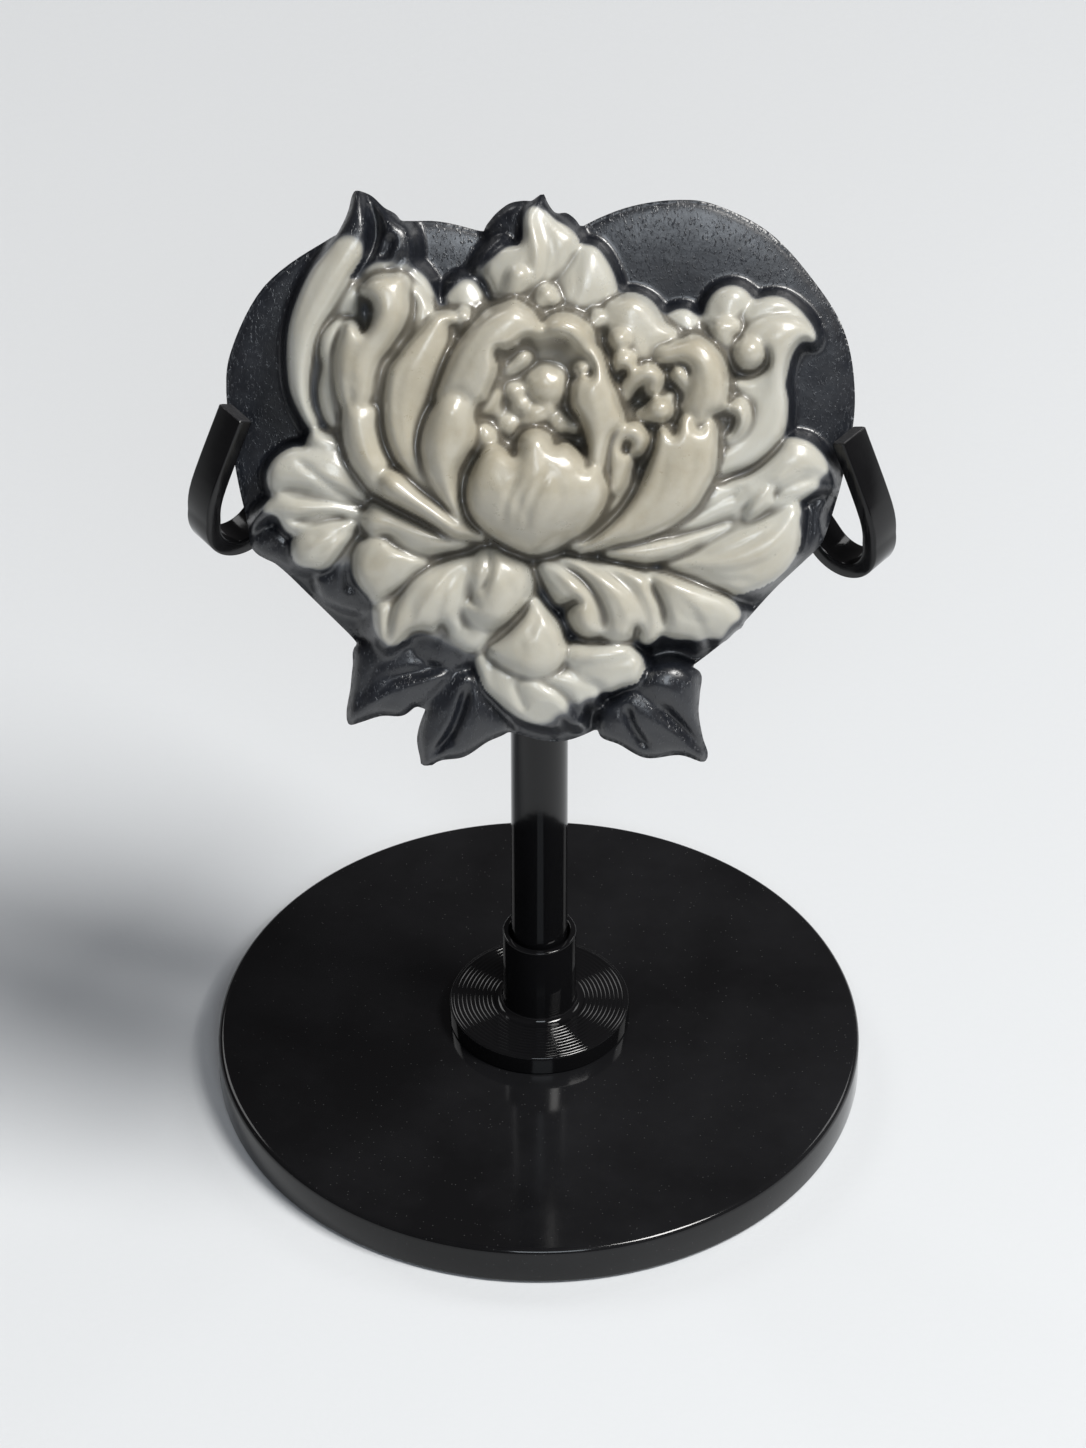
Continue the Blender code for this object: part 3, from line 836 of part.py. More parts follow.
def build_post(collection, material, top):
    bottom = BASE_THICKNESS + FIT_GAP
    length = top - bottom
    edge = POST_EDGE_ROUND
    profile = [(0.0, length)]
    profile += corner(edge, POST_RADIUS - edge, length - edge, math.pi / 2, 2)
    profile += corner(edge, POST_RADIUS - edge, edge, 0.0, 2)
    profile.append((0.0, 0.0))
    obj = turned("stand_post", profile, collection, material)
    obj.location = (0.0, POST_SETBACK, bottom)
    return obj


def build_hub(collection, material, bottom):
    bore = POST_RADIUS + FIT_GAP
    radius = POST_RADIUS + HUB_WALL
    edge = HUB_EDGE_ROUND
    profile = [(0.0, HUB_HEIGHT)]
    profile += corner(edge, radius - edge, HUB_HEIGHT - edge, math.pi / 2, 2)
    profile += corner(edge, radius - edge, edge, 0.0, 2)
    profile += [(bore, 0.0), (bore, HUB_HEIGHT - HUB_ROOF), (0.0, HUB_HEIGHT - HUB_ROOF)]
    obj = turned("cradle_hub", profile, collection, material)
    obj.location = (0.0, POST_SETBACK, bottom)
    return obj


def arc_points(centre, radius, start, end, steps):
    return [(centre[0] + radius * math.cos(start + (end - start) * k / steps),
             centre[1] + radius * math.sin(start + (end - start) * k / steps))
            for k in range(steps + 1)]


def strip_path(reach, arm_height, rise_to_arm):
    """Middle line of one arm: out from the hub, down, round under the rim and up in front."""
    saddle = (reach, arm_height - rise_to_arm)
    lean = CLAW_BACK_LEAN
    foot = arc_points(saddle, CLAW_SADDLE_RADIUS, math.pi + lean,
                      math.tau + CLAW_LEG_LEAN * CLAW_FOOT_LEAN_SHARE, 12)
    back = foot[0]
    shoulder_r = CLAW_SHOULDER_RADIUS
    rise = arm_height - back[1] - shoulder_r * (1.0 - math.sin(lean))
    turn_end = (back[0] - rise * math.tan(lean), back[1] + rise)
    centre = (turn_end[0] - shoulder_r * math.cos(lean), arm_height - shoulder_r)
    shoulder = arc_points(centre, shoulder_r, math.pi / 2, lean, 6)
    front = foot[-1]
    knee_rise = CLAW_KNEE_SHARE * CLAW_LEG_HEIGHT
    knee = (front[0] - knee_rise * math.tan(CLAW_LEG_LEAN * CLAW_KNEE_LEAN_SHARE), front[1] + knee_rise)
    tip_rise = CLAW_LEG_HEIGHT - knee_rise
    tip = (knee[0] - tip_rise * math.tan(CLAW_LEG_LEAN * CLAW_TIP_LEAN_SHARE), knee[1] + tip_rise)
    inner_end = (POST_RADIUS + HUB_WALL + FIT_GAP, arm_height)
    return [inner_end] + shoulder + foot + [knee, tip]


def offset_line(path, offset):
    """The path moved sideways by offset, to its left for a positive value."""
    pts = np.array(path)
    run = np.gradient(pts, axis=0)
    run /= np.hypot(run[:, 0], run[:, 1])[:, None]
    return pts + offset * np.column_stack([-run[:, 1], run[:, 0]])


def build_arm(name, collection, material, azimuth, path):
    """One arm: the outline of its bent strip, as wide as the strip, turned to the claw's azimuth."""
    half = STRIP_THICKNESS / 2
    left = offset_line(path, half)
    right = offset_line(path, -half)
    outline = [tuple(p) for p in left] + [tuple(p) for p in right[::-1]]
    curve = bpy.data.curves.new(name, "CURVE")
    curve.dimensions = "2D"
    curve.fill_mode = "BOTH"
    curve.extrude = STRIP_WIDTH / 2
    spline = curve.splines.new("POLY")
    spline.points.add(len(outline) - 1)
    for point, (e, z) in zip(spline.points, outline):
        point.co = (e, z, 0.0, 1.0)
    spline.use_cyclic_u = True
    obj = new_object(name, curve, collection, material)
    obj.rotation_euler = (math.pi / 2, 0.0, -math.pi / 2 + azimuth)
    obj.location = (0.0, POST_SETBACK, 0.0)
    weld = obj.modifiers.new("Weld caps", "WELD")
    weld.merge_threshold = 0.00001
    bevel = obj.modifiers.new("Soft edges", "BEVEL")
    bevel.width = STRIP_EDGE_ROUND
    bevel.segments = 1
    bevel.limit_method = "ANGLE"
    bevel.angle_limit = math.radians(50.0)
    return obj


def grip_place(side, gap):
    """Azimuth and distance, from the post's axis, of the claw that holds the rim on that side."""
    up = CLAW_GRIP_HEIGHT
    middle = PLATE_THICKNESS / 2
    across = drawn_rim(PLATE_OUTLINE, up / UNIT, side) * UNIT + gap
    ahead = POST_SETBACK + RELIEF_FORWARD - up * math.sin(RELIEF_LEAN) - middle * math.cos(RELIEF_LEAN)
    return math.atan2(across, ahead), math.hypot(across, ahead)


def build_relief(collection, material):
    verts, faces = relief_mesh(GRID_STEP)
    mesh = bpy.data.meshes.new("relief_carving")
    mesh.from_pydata(verts.tolist(), [], faces)
    mesh.shade_smooth()
    work = bmesh.new()
    work.from_mesh(mesh)
    bmesh.ops.recalc_face_normals(work, faces=work.faces)
    work.to_mesh(mesh)
    work.free()
    obj = new_object("relief_carving", mesh, collection, material)
    fewer = obj.modifiers.new("Fewer triangles", "DECIMATE")
    fewer.ratio = TRIANGLE_SHARE
    return obj


def main():
    for obj in list(bpy.data.objects):
        bpy.data.objects.remove(obj)
    collection = bpy.data.collections.new("Peony relief on stand")
    bpy.context.scene.collection.children.link(collection)
    stone = new_material("two_layer_stone", (0.56, 0.53, 0.46), 0.42)
    lacquer = new_material("gloss_black_lacquer", (0.006, 0.006, 0.007), 0.08)
    satin = new_material("satin_black_lacquer", (0.01, 0.01, 0.012), 0.22)
    strip = new_material("black_strip_metal", (0.008, 0.008, 0.009), 0.15)
    grip_level = RELIEF_CENTRE_HEIGHT + CLAW_GRIP_HEIGHT * math.cos(RELIEF_LEAN)
    arm_height = grip_level - CLAW_SADDLE_DROP + CLAW_RISE_LEFT
    hub_bottom = arm_height - HUB_HEIGHT / 2
    build_base(collection, satin)
    build_collar(collection, lacquer)
    build_post(collection, lacquer, hub_bottom + HUB_HEIGHT - HUB_ROOF - FIT_GAP)
    build_hub(collection, lacquer, hub_bottom)
    for name, side, gap, rise in (("cradle_arm_left", -1, CLAW_GAP_LEFT, CLAW_RISE_LEFT),
                                  ("cradle_arm_right", 1, CLAW_GAP_RIGHT, CLAW_RISE_RIGHT)):
        azimuth, reach = grip_place(side, gap)
        build_arm(name, collection, strip, side * azimuth, strip_path(reach, arm_height, rise))
    build_relief(collection, stone)


if __name__ == "__main__":
    main()
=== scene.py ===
"""Looks of the two-layer stone peony relief and of its gloss black display stand.

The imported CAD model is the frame. The relief is carved again here on a much finer grid, from
the same forms, and its two layers of stone are painted by height. The turned and bent parts
of the stand are rebuilt with round edges, and the collar gets its turning grooves. Everything
is in metres, +Z is up, and the flower looks along -Y.
"""

import logging
import math
from dataclasses import dataclass, field
from enum import Enum
from typing import Any, Sequence

import bmesh
import bpy
import numpy as np
from mathutils import Matrix, Vector


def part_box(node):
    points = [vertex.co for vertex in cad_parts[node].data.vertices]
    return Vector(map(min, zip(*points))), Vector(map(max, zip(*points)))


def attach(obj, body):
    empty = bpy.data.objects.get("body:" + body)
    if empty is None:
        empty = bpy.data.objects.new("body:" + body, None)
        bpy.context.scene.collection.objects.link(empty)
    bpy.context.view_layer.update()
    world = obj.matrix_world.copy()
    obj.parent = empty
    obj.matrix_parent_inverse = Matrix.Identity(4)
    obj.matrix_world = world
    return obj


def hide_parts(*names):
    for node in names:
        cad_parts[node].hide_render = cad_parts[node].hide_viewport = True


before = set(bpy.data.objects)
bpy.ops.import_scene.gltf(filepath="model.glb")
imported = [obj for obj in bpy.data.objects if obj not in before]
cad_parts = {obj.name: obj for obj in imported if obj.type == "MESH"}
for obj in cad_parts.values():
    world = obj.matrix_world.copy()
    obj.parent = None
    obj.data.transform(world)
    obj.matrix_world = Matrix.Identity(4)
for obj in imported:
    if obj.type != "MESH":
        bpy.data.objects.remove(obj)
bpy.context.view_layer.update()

BODY = "root"
MM = 0.001
FIT_GAP = 0.3 * MM

log = logging.getLogger("peony_relief")

Path = Sequence[Sequence[float]]
Colour = tuple[float, float, float]


class Slot(Enum):
    """The record's material slots."""

    STONE = "stone"
    STRIP = "strip_metal"
    LACQUER = "lacquer"
    BASE = "base_lacquer"


def smooth_path(points: Path, closed: bool, steps: int = 6) -> np.ndarray:
    """Run a Catmull-Rom curve through the points.

    Args:
        points: The points to pass through, in order.
        closed: Whether the curve comes back to its first point.
        steps: Samples to each span.

    Returns:
        The samples, one to a row.
    """
    pts = np.asarray(points, dtype=float)
    count = len(pts)
    out = []
    for i in range(count if closed else count - 1):
        if closed:
            a, b, c, d = (pts[(i + k - 1) % count] for k in range(4))
        else:
            a, b, c, d = (pts[min(max(i + k - 1, 0), count - 1)] for k in range(4))
        for t in np.arange(steps) / steps:
            out.append(0.5 * (2 * b + (c - a) * t + (2 * a - 5 * b + 4 * c - d) * t ** 2
                              + (3 * b - a - 3 * c + d) * t ** 3))
    if not closed:
        out.append(pts[-1])
    return np.array(out)


def nearest_on_path(points: np.ndarray, path: np.ndarray,
                    closed: bool = False) -> tuple[np.ndarray, np.ndarray, np.ndarray, np.ndarray]:
    """Find where each point lies beside a path.

    Args:
        points: Points of the field, one to a row.
        path: Samples of the path; a third value rides along with it.
        closed: Whether the path comes back to its start.

    Returns:
        Distance, side (left is +1), share of the length, and the third value there.
    """
    ends = np.roll(path, -1, axis=0) if closed else path[1:]
    starts = path if closed else path[:-1]
    lengths = np.hypot(*(ends - starts)[:, :2].T)
    run = np.concatenate([[0.0], np.cumsum(lengths)])
    best = np.full(len(points), 1e9)
    side = np.zeros(len(points))
    share = np.zeros(len(points))
    value = np.zeros(len(points))
    for i, (a, b) in enumerate(zip(starts, ends)):
        if lengths[i] < 1e-9:
            continue
        ab = (b - a)[:2]
        ap = points - a[:2]
        t = np.clip(ap @ ab / lengths[i] ** 2, 0.0, 1.0)
        gap = ap - t[:, None] * ab
        dist = np.hypot(gap[:, 0], gap[:, 1])
        near = dist < best - 1e-9
        best[near] = dist[near]
        side[near] = np.sign(ab[0] * ap[near, 1] - ab[1] * ap[near, 0])
        share[near] = (run[i] + t[near] * lengths[i]) / run[-1]
        if path.shape[1] > 2:
            value[near] = a[2] + t[near] * (b[2] - a[2])
    return best, side, share, value


def depth_inside(points: np.ndarray, loop: np.ndarray) -> np.ndarray:
    """Distance of each point to a closed outline, positive inside it.

    Args:
        points: Points of the field.
        loop: Samples of the outline.

    Returns:
        The signed distances.
    """
    dist = nearest_on_path(points, loop, closed=True)[0]
    inside = np.zeros(len(points), dtype=bool)
    for a, b in zip(loop, np.roll(loop, -1, axis=0)):
        crosses = (a[1] > points[:, 1]) != (b[1] > points[:, 1])
        rise = b[1] - a[1] if abs(b[1] - a[1]) > 1e-12 else 1e-12
        inside ^= crosses & (points[:, 0] < a[0] + (b[0] - a[0]) * (points[:, 1] - a[1]) / rise)
    return np.where(inside, dist, -dist)


def box_blur(values: np.ndarray, reach: int) -> np.ndarray:
    """Average a grid over a square, three times over, which comes close to a round blur.

    Args:
        values: The grid.
        reach: Half the side of the square, in cells.

    Returns:
        The blurred grid, as large as the first.
    """
    for axis in (0, 1) * 3:
        padded = np.pad(values, [(reach + 1, reach) if k == axis else (0, 0) for k in (0, 1)], mode="edge")
        total = np.cumsum(padded, axis=axis)
        high = np.take(total, range(2 * reach + 1, total.shape[axis]), axis=axis)
        low = np.take(total, range(0, total.shape[axis] - 2 * reach - 1), axis=axis)
        values = (high - low) / (2 * reach + 1)
    return values


class CarvedField:
    """A field of heights over the plate, cut one form after another from the back to the front.

    It is drawn as the flower is seen from in front and a little above, in units of a
    millimetre on a stone of the drawn width.
    """

    WALL_SLOPE = 5.0
    JOIN_SLOPE = 2.2
    BEAD_SOFT = 0.7
    SWELL = 1.9
    POLISH = 0.55
    LIP_REACH = 0.8
    LIP_DROP = 0.8
    LIP_RISE = 3.0
    LIP_LEAST = 0.15
    SINK = 0.55
    SINK_REACH = 0.8
    SINK_FLOOR = 0.8
    FOOT_SOFT = 0.8
    FOOT_REACH = 0.5
    LAY_BLEND = 0.35
    LAST_POLISH = 0.25
    NOTHING = -9.0
    LOWEST = -1.5
    MARGIN = 4.0
    HOLLOW_MARGIN = 0.5
    STEP_EDGE = 0.35
    FOLD_FADE = 6.4
    VEIN_DEPTH = 0.22

    def __init__(self, step: float) -> None:
        """Start with nothing above the plate.

        Args:
            step: Distance between the field's points.
        """
        self.step = step
        self.u = np.arange(FIELD_LOW[0], FIELD_HIGH[0], step)
        self.v = np.arange(FIELD_LOW[1], FIELD_HIGH[1], step)
        grid = np.meshgrid(self.u, self.v, indexing="ij")
        self.points = np.column_stack([grid[0].ravel(), grid[1].ravel()])
        self.height = np.full(len(self.points), self.NOTHING)
        self.depth = np.full(len(self.points), self.NOTHING)
        self.tone = np.zeros(len(self.points))

    def near(self, loop: np.ndarray, margin: float = MARGIN) -> tuple[np.ndarray, tuple[int, int]]:
        """Points in a box round a path, as their indices and the box's shape."""
        start = np.array([self.u[0], self.v[0]])
        low = ((loop[:, :2].min(axis=0) - margin - start) / self.step).astype(int)
        high = ((loop[:, :2].max(axis=0) + margin - start) / self.step).astype(int) + 1
        rows = np.arange(max(low[0], 0), min(high[0], len(self.u)))
        columns = np.arange(max(low[1], 0), min(high[1], len(self.v)))
        return (rows[:, None] * len(self.v) + columns).ravel(), (len(rows), len(columns))

    def lay(self, where: np.ndarray, form: np.ndarray, depth: np.ndarray) -> None:
        """Put a form over what is there: inside its outline it rules, outside it only adds.

        Args:
            where: Indices of the points it reaches.
            form: Its height at those points.
            depth: Their distance to its outline, positive inside.
        """
        old = self.height[where]
        beside = (depth < 0.0) & (old > self.SINK_FLOOR)
        under = self.SINK * np.exp(-(depth / self.SINK_REACH) ** 2)
        old = np.where(beside, np.maximum(old - under, self.SINK_FLOOR), old)
        blend = np.clip(depth / self.LAY_BLEND, 0.0, 1.0)
        sunk = old + (form - old) * blend * blend * (3.0 - 2.0 * blend)
        gap = np.clip(1.0 - np.abs(form - old) / self.FOOT_SOFT, 0.0, 1.0)
        foot = self.FOOT_SOFT * gap ** 2 / 4 * np.clip(-depth / self.FOOT_REACH, 0.0, 1.0)
        self.height[where] = np.where(form >= old, form, sunk) + foot
        self.depth[where] = np.maximum(self.depth[where], depth)

    def join(self, where: np.ndarray, form: np.ndarray, depth: np.ndarray, soft: float) -> None:
        """Let a form flow into what is there, with a soft valley between them.

        Args:
            where: Indices of the points it reaches.
            form: Its height at those points.
            depth: Their distance to its outline, positive inside.
            soft: Height over which the two run together.
        """
        old = self.height[where]
        gap = np.clip(1.0 - np.abs(form - old) / soft, 0.0, 1.0)
        self.height[where] = np.maximum(form, old) + soft * gap ** 2 / 4
        self.depth[where] = np.maximum(self.depth[where], depth)

    def petal(self, outline: Path, spine: Path, crown: float = 0.8, tilt: float = 0.0,
              edge: tuple[float, float] = (1.3, 1.7), folds: Sequence[tuple] = (),
              soft: float = 0.0, tone: float = 0.0, veins: float = 1.6) -> None:
        """Carve a petal.

        Args:
            outline: Its closed outline.
            spine: Its spine, with the height of the petal as third value.
            crown: How far it bulges between spine and edge.
            tilt: How much higher its left side is.
            edge: How far in from its edge it rounds off, and by how much.
            folds: Grooves and steps across it: path, depth and width.
            soft: Height over which it flows into what is there; none makes a sharp edge.
            tone: How much higher the dark layer reaches in it.
            veins: How many fine lines follow its spine on each side.
        """
        loop = smooth_path(outline, True)
        where, shape = self.near(loop)
        points = self.points[where]
        depth = depth_inside(points, loop)
        inner = np.maximum(depth, 0.0)
        off, side, share, level = nearest_on_path(points, smooth_path(spine, False))
        across = off / (off + inner + 1e-6)
        form = level + self.SWELL * crown * (1.0 - across ** 2) + tilt * side * across
        form = box_blur(form.reshape(shape), max(round(self.POLISH / self.step), 1)).ravel()
        form = form - self.vein_lines(side * across, share, veins) * np.clip(inner / 1.5, 0.0, 1.0)
        for path, deep, wide in folds:
            form = form + self.fold(points, path, deep, wide)
        reach, drop = edge
        near_edge = np.clip(1.0 - inner / (self.LIP_REACH * reach), 0.0, 1.0)
        rise = np.clip((form - self.height[where]) / self.LIP_RISE, self.LIP_LEAST, 1.0)
        form = form - self.LIP_DROP * drop * rise * (1.0 - np.sqrt(1.0 - near_edge ** 2))
        form = form - (self.JOIN_SLOPE if soft else self.WALL_SLOPE) * (inner - depth)
        ruling = depth > 0.0
        if soft:
            ruling &= form > self.height[where]
            self.join(where, form, depth, soft)
        else:
            self.lay(where, form, depth)
        self.tone[where[ruling]] = tone

    def vein_lines(self, across: np.ndarray, share: np.ndarray, count: float) -> np.ndarray:
        """Fine grooves that run along a petal and wander a little.

        Args:
            across: Place across the petal, from -1 to 1.
            share: Place along its spine, from 0 to 1.
            count: How many lines there are on each side of the spine.

        Returns:
            Depth of the grooves at each point.
        """
        wave = np.cos(math.tau * (count * across + 0.3 * np.sin(4.0 * share + 2.0 * across) + 0.35))
        fade = np.clip(5.0 * share * (1.0 - share), 0.0, 1.0)
        return self.VEIN_DEPTH * fade * np.clip((wave - 0.35) / 0.65, 0.0, 1.0) ** 2

    def hollow(self, outline: Path, rim: float, floor: float, slope: float = 2.0) -> None:
        """Cut a hollow under a curled tip or inside the cup, with sloping sides.

        Args:
            outline: Its closed outline.
            rim: Height at which its sides start.
            floor: Height of its floor.
            slope: How far in its sides reach.
        """
        loop = smooth_path(outline, True)
        where, _ = self.near(loop, self.HOLLOW_MARGIN)
        depth = depth_inside(self.points[where], loop)
        sunk = floor + (rim - floor) * np.clip(1.0 - depth / slope, 0.0, 1.0) ** 2
        inside = depth > 0.0
        index = where[inside]
        self.height[index] = np.minimum(self.height[index], sunk[inside])

    def bead(self, u: float, v: float, radius: float, top: float) -> None:
        """Carve a round seed or the knob of a stamen, with its top at that height."""
        angle = np.arange(16) * math.tau / 16
        ring = np.column_stack([u + radius * np.cos(angle), v + radius * np.sin(angle)])
        where, _ = self.near(ring)
        off = np.hypot(*(self.points[where] - (u, v)).T)
        dome = np.sqrt(np.clip(1.0 - (off / radius) ** 2, 0.0, 1.0))
        form = top - radius * (1.0 - dome) - self.WALL_SLOPE * np.maximum(off - radius, 0.0)
        self.join(where, form, radius - off, self.BEAD_SOFT)

    def stalk(self, path: Path, radius: float) -> None:
        """Carve a round stalk along a path whose third value is the height of its back."""
        line = smooth_path(path, False)
        where, _ = self.near(line)
        off, _, _, level = nearest_on_path(self.points[where], line)
        dome = np.sqrt(np.clip(1.0 - (off / radius) ** 2, 0.0, 1.0))
        form = level - radius * (1.0 - dome) - self.WALL_SLOPE * np.maximum(off - radius, 0.0)
        self.join(where, form, radius - off, self.BEAD_SOFT)

    def crease(self, path: Path, deep: float, wide: float) -> None:
        """Cut a groove over everything already there."""
        where, _ = self.near(smooth_path(path, False))
        self.height[where] += self.fold(self.points[where], path, deep, wide)

    def polish(self) -> None:
        """Take the last roughness off the whole carving."""
        grid = np.maximum(self.height, self.LOWEST).reshape(len(self.u), len(self.v))
        self.height = box_blur(grid, round(self.LAST_POLISH / self.step)).ravel()

    @classmethod
    def fold(cls, points: np.ndarray, path: Path, deep: float, wide: float) -> np.ndarray:
        """Height that a fold adds: a groove, or a step up on the left of its path.

        Args:
            points: Points of the field.
            path: The fold's path.
            deep: Depth of the groove or height of the step.
            wide: Its width; a negative one makes a step.

        Returns:
            What to add to the height at each point.
        """
        off, side, share, _ = nearest_on_path(points, smooth_path(path, False))
        fade = np.clip(cls.FOLD_FADE * share * (1.0 - share), 0.0, 1.0)
        if wide < 0.0:
            return deep * 0.5 * np.tanh(side * off / cls.STEP_EDGE) * np.exp(off / wide) * fade
        return -deep * np.exp(-(off / wide) ** 2) * fade


class Shading:
    """One material and the nodes that feed its shader."""

    def __init__(self, name: str) -> None:
        """Make the material with an empty finish.

        Args:
            name: The material's name.
        """
        self.material = bpy.data.materials.new(name)
        self.material.use_nodes = True
        self.tree = self.material.node_tree
        self.shader = self.tree.nodes["Principled BSDF"]
        coords = self.tree.nodes.new("ShaderNodeTexCoord")
        self.place = coords.outputs["Object"]

    def set(self, **values: Any) -> None:
        """Set the shader's own sockets; an underscore in a name stands for a space."""
        for name, value in values.items():
            self.shader.inputs[name.replace("_", " ")].default_value = value

    def feed(self, socket: str, output: bpy.types.NodeSocket) -> None:
        """Link an output to one of the shader's sockets."""
        self.tree.links.new(output, self.shader.inputs[socket])

    def node(self, kind: str, links: dict[Any, Any], **settings: Any) -> bpy.types.Node:
        """Add a node.

        Args:
            kind: The node's type.
            links: Its inputs by name or number, each an output or a plain value.
            settings: Its own settings.

        Returns:
            The node.
        """
        node = self.tree.nodes.new(kind)
        for name, value in settings.items():
            setattr(node, name, value)
        for name, value in links.items():
            if isinstance(value, bpy.types.NodeSocket):
                self.tree.links.new(value, node.inputs[name])
            else:
                node.inputs[name].default_value = value
        return node

    def noise(self, scale: float, detail: float = 3.0, rough: float = 0.5,
              place: Any = None) -> bpy.types.NodeSocket:
        """Noise on the object's own coordinates, as one value."""
        inputs = {"Vector": place or self.place, "Scale": scale, "Detail": detail, "Roughness": rough}
        return self.node("ShaderNodeTexNoise", inputs).outputs["Fac"]

    def spots(self, scale: float, radius: float) -> bpy.types.NodeSocket:
        """Scattered round spots: one inside them, falling to nothing at their radius."""
        cells = self.node("ShaderNodeTexVoronoi", {"Vector": self.place, "Scale": scale})
        return self.span(cells.outputs["Distance"], radius, 0.0)

    def scratches(self) -> bpy.types.NodeSocket:
        """Short fine scratches that cross each other."""
        first, second = (self.noise(1.0, 2.0, 0.6, self.node("ShaderNodeMapping", {
            "Vector": self.place, "Rotation": turn, "Scale": (3000.0, 1300.0, 1300.0)}).outputs[0])
            for turn in ((0.3, 0.2, 0.5), (1.1, 0.9, -0.7)))
        return self.span(self.maths("MAXIMUM", first, second), 0.6, 0.8)

    def attribute(self, name: str) -> bpy.types.NodeSocket:
        """One of the mesh's own attributes, as one value."""
        return self.node("ShaderNodeAttribute", {}, attribute_name=name).outputs["Fac"]

    def span(self, value: Any, low: float, high: float, to_low: float = 0.0,
             to_high: float = 1.0) -> bpy.types.NodeSocket:
        """Map a value from one span to another, held at both ends."""
        inputs = {"Value": value, "From Min": low, "From Max": high, "To Min": to_low, "To Max": to_high}
        return self.node("ShaderNodeMapRange", inputs, clamp=True).outputs["Result"]

    def maths(self, operation: str, first: Any, second: Any) -> bpy.types.NodeSocket:
        """Join two values by a named operation."""
        return self.node("ShaderNodeMath", {0: first, 1: second}, operation=operation).outputs[0]

    def mix(self, share: Any, first: Any, second: Any) -> bpy.types.NodeSocket:
        """Mix two colours."""
        inputs = {0: share, 6: self.colour(first), 7: self.colour(second)}
        return self.node("ShaderNodeMix", inputs, data_type="RGBA").outputs[2]

    @staticmethod
    def colour(value: Any) -> Any:
        """Give a colour its fourth value; an output stays as it is."""
        return (*value, 1.0) if isinstance(value, tuple) else value

    def bump(self, heights: Sequence[tuple[Any, float]]) -> None:
        """Feed the shader's normal from heights, each with the depth in metres that it stands for."""
        last: Any = None
        for height, depth in heights:
            inputs = {"Height": height, "Strength": 1.0, "Distance": depth}
            if last is not None:
                inputs["Normal"] = last
            last = self.node("ShaderNodeBump", inputs).outputs["Normal"]
        self.feed("Normal", last)


@dataclass(frozen=True)
class StoneFinish:
    """Waxy stone, cream where it stands high and grey where it thins out over a blue-black layer; the cream
    is kept darker than the grey, partly as painted shade on the high cup.
    """

    # The grey is brighter than the cream: partly the stone's own tone and partly painted light on the low
    # outer petals and painted shade on the high cup.
    cream: Colour = (0.395, 0.368, 0.298)
    cream_deep: Colour = (0.34, 0.308, 0.235)
    grey: Colour = (0.425, 0.419, 0.374)
    between: Colour = (0.095, 0.1, 0.108)
    dark: Colour = (0.0045, 0.0055, 0.0085)
    dark_bloom: Colour = (0.015, 0.018, 0.024)
    scratched: Colour = (0.032, 0.036, 0.045)
    # Painted shade: the colour that the creases and the feet of the walls darken to; also the colour of the
    # small dark specks.
    crevice_shade_and_speck: Colour = (0.05, 0.041, 0.028)
    pale_roughness: float = 0.31
    dark_roughness: float = 0.34
    ior: float = 1.68
    grain_depth: float = 0.00007
    scratch_depth: float = 0.00006

    def make(self) -> bpy.types.Material:
        """Build the material; it reads the layer, painted_shade_depth and level attributes of the carving."""
        s = Shading("two_layer_stone")
        layer = s.attribute("layer")
        painted_shade_depth = s.attribute("painted_shade_depth")
        cloud = s.noise(90.0, 4.0, 0.6)
        # Tone by height: cool grey low, warm cream high. This is partly the stone's own tone and partly
        # painted shade, with the cup darkened as if shaded.
        height_tone_and_shade = s.maths("ADD", s.span(s.attribute("level"), 5.0, 11.0), s.span(cloud, 0.3, 0.7, -0.3, 0.3))
        cream = s.mix(s.span(s.noise(260.0, 4.0, 0.6), 0.35, 0.7), self.cream, self.cream_deep)
        pale = s.mix(s.span(height_tone_and_shade, 0.0, 1.0), self.grey, cream)
        # Painted shade: darken towards the crevice colour where painted_shade_depth says a point lies deep
        # below what is round it.
        pale = s.mix(s.maths("MULTIPLY", s.span(painted_shade_depth, 0.12, 1.0), 0.8), pale, self.crevice_shade_and_speck)
        # Small dark specks in the stone, in the same colour.
        pale = s.mix(s.maths("MULTIPLY", s.spots(300.0, 0.07), 0.35), pale, self.crevice_shade_and_speck)
        scratches = s.scratches()
        dark = s.mix(s.maths("MULTIPLY", s.span(s.noise(300.0, 5.0, 0.7), 0.4, 0.75), 0.6),
                     self.dark, self.dark_bloom)
        dark = s.mix(s.maths("MULTIPLY", scratches, 0.6), dark, self.scratched)
        low = s.mix(s.span(layer, 0.0, 0.5), dark, self.between)
        s.feed("Base Color", s.mix(s.span(layer, 0.3, 1.0), low, pale))
        rough = s.span(layer, 0.1, 0.9, self.dark_roughness, self.pale_roughness)
        uneven = s.maths("MULTIPLY", s.maths("SUBTRACT", s.noise(350.0, 5.0, 0.65), 0.5), 0.25)
        s.feed("Roughness", s.maths("ADD", rough, uneven))
        s.feed("Subsurface Weight", s.span(layer, 0.3, 1.0, 0.0, 0.1))
        s.set(IOR=self.ior, Subsurface_Scale=0.0009, Subsurface_Radius=(1.0, 0.8, 0.5))
        on_dark = s.span(layer, 0.1, 0.6, 1.0, 0.12)
        s.bump([(s.noise(420.0, 4.0, 0.55), self.grain_depth),
                (s.maths("MULTIPLY", scratches, on_dark), self.scratch_depth)])
        return s.material


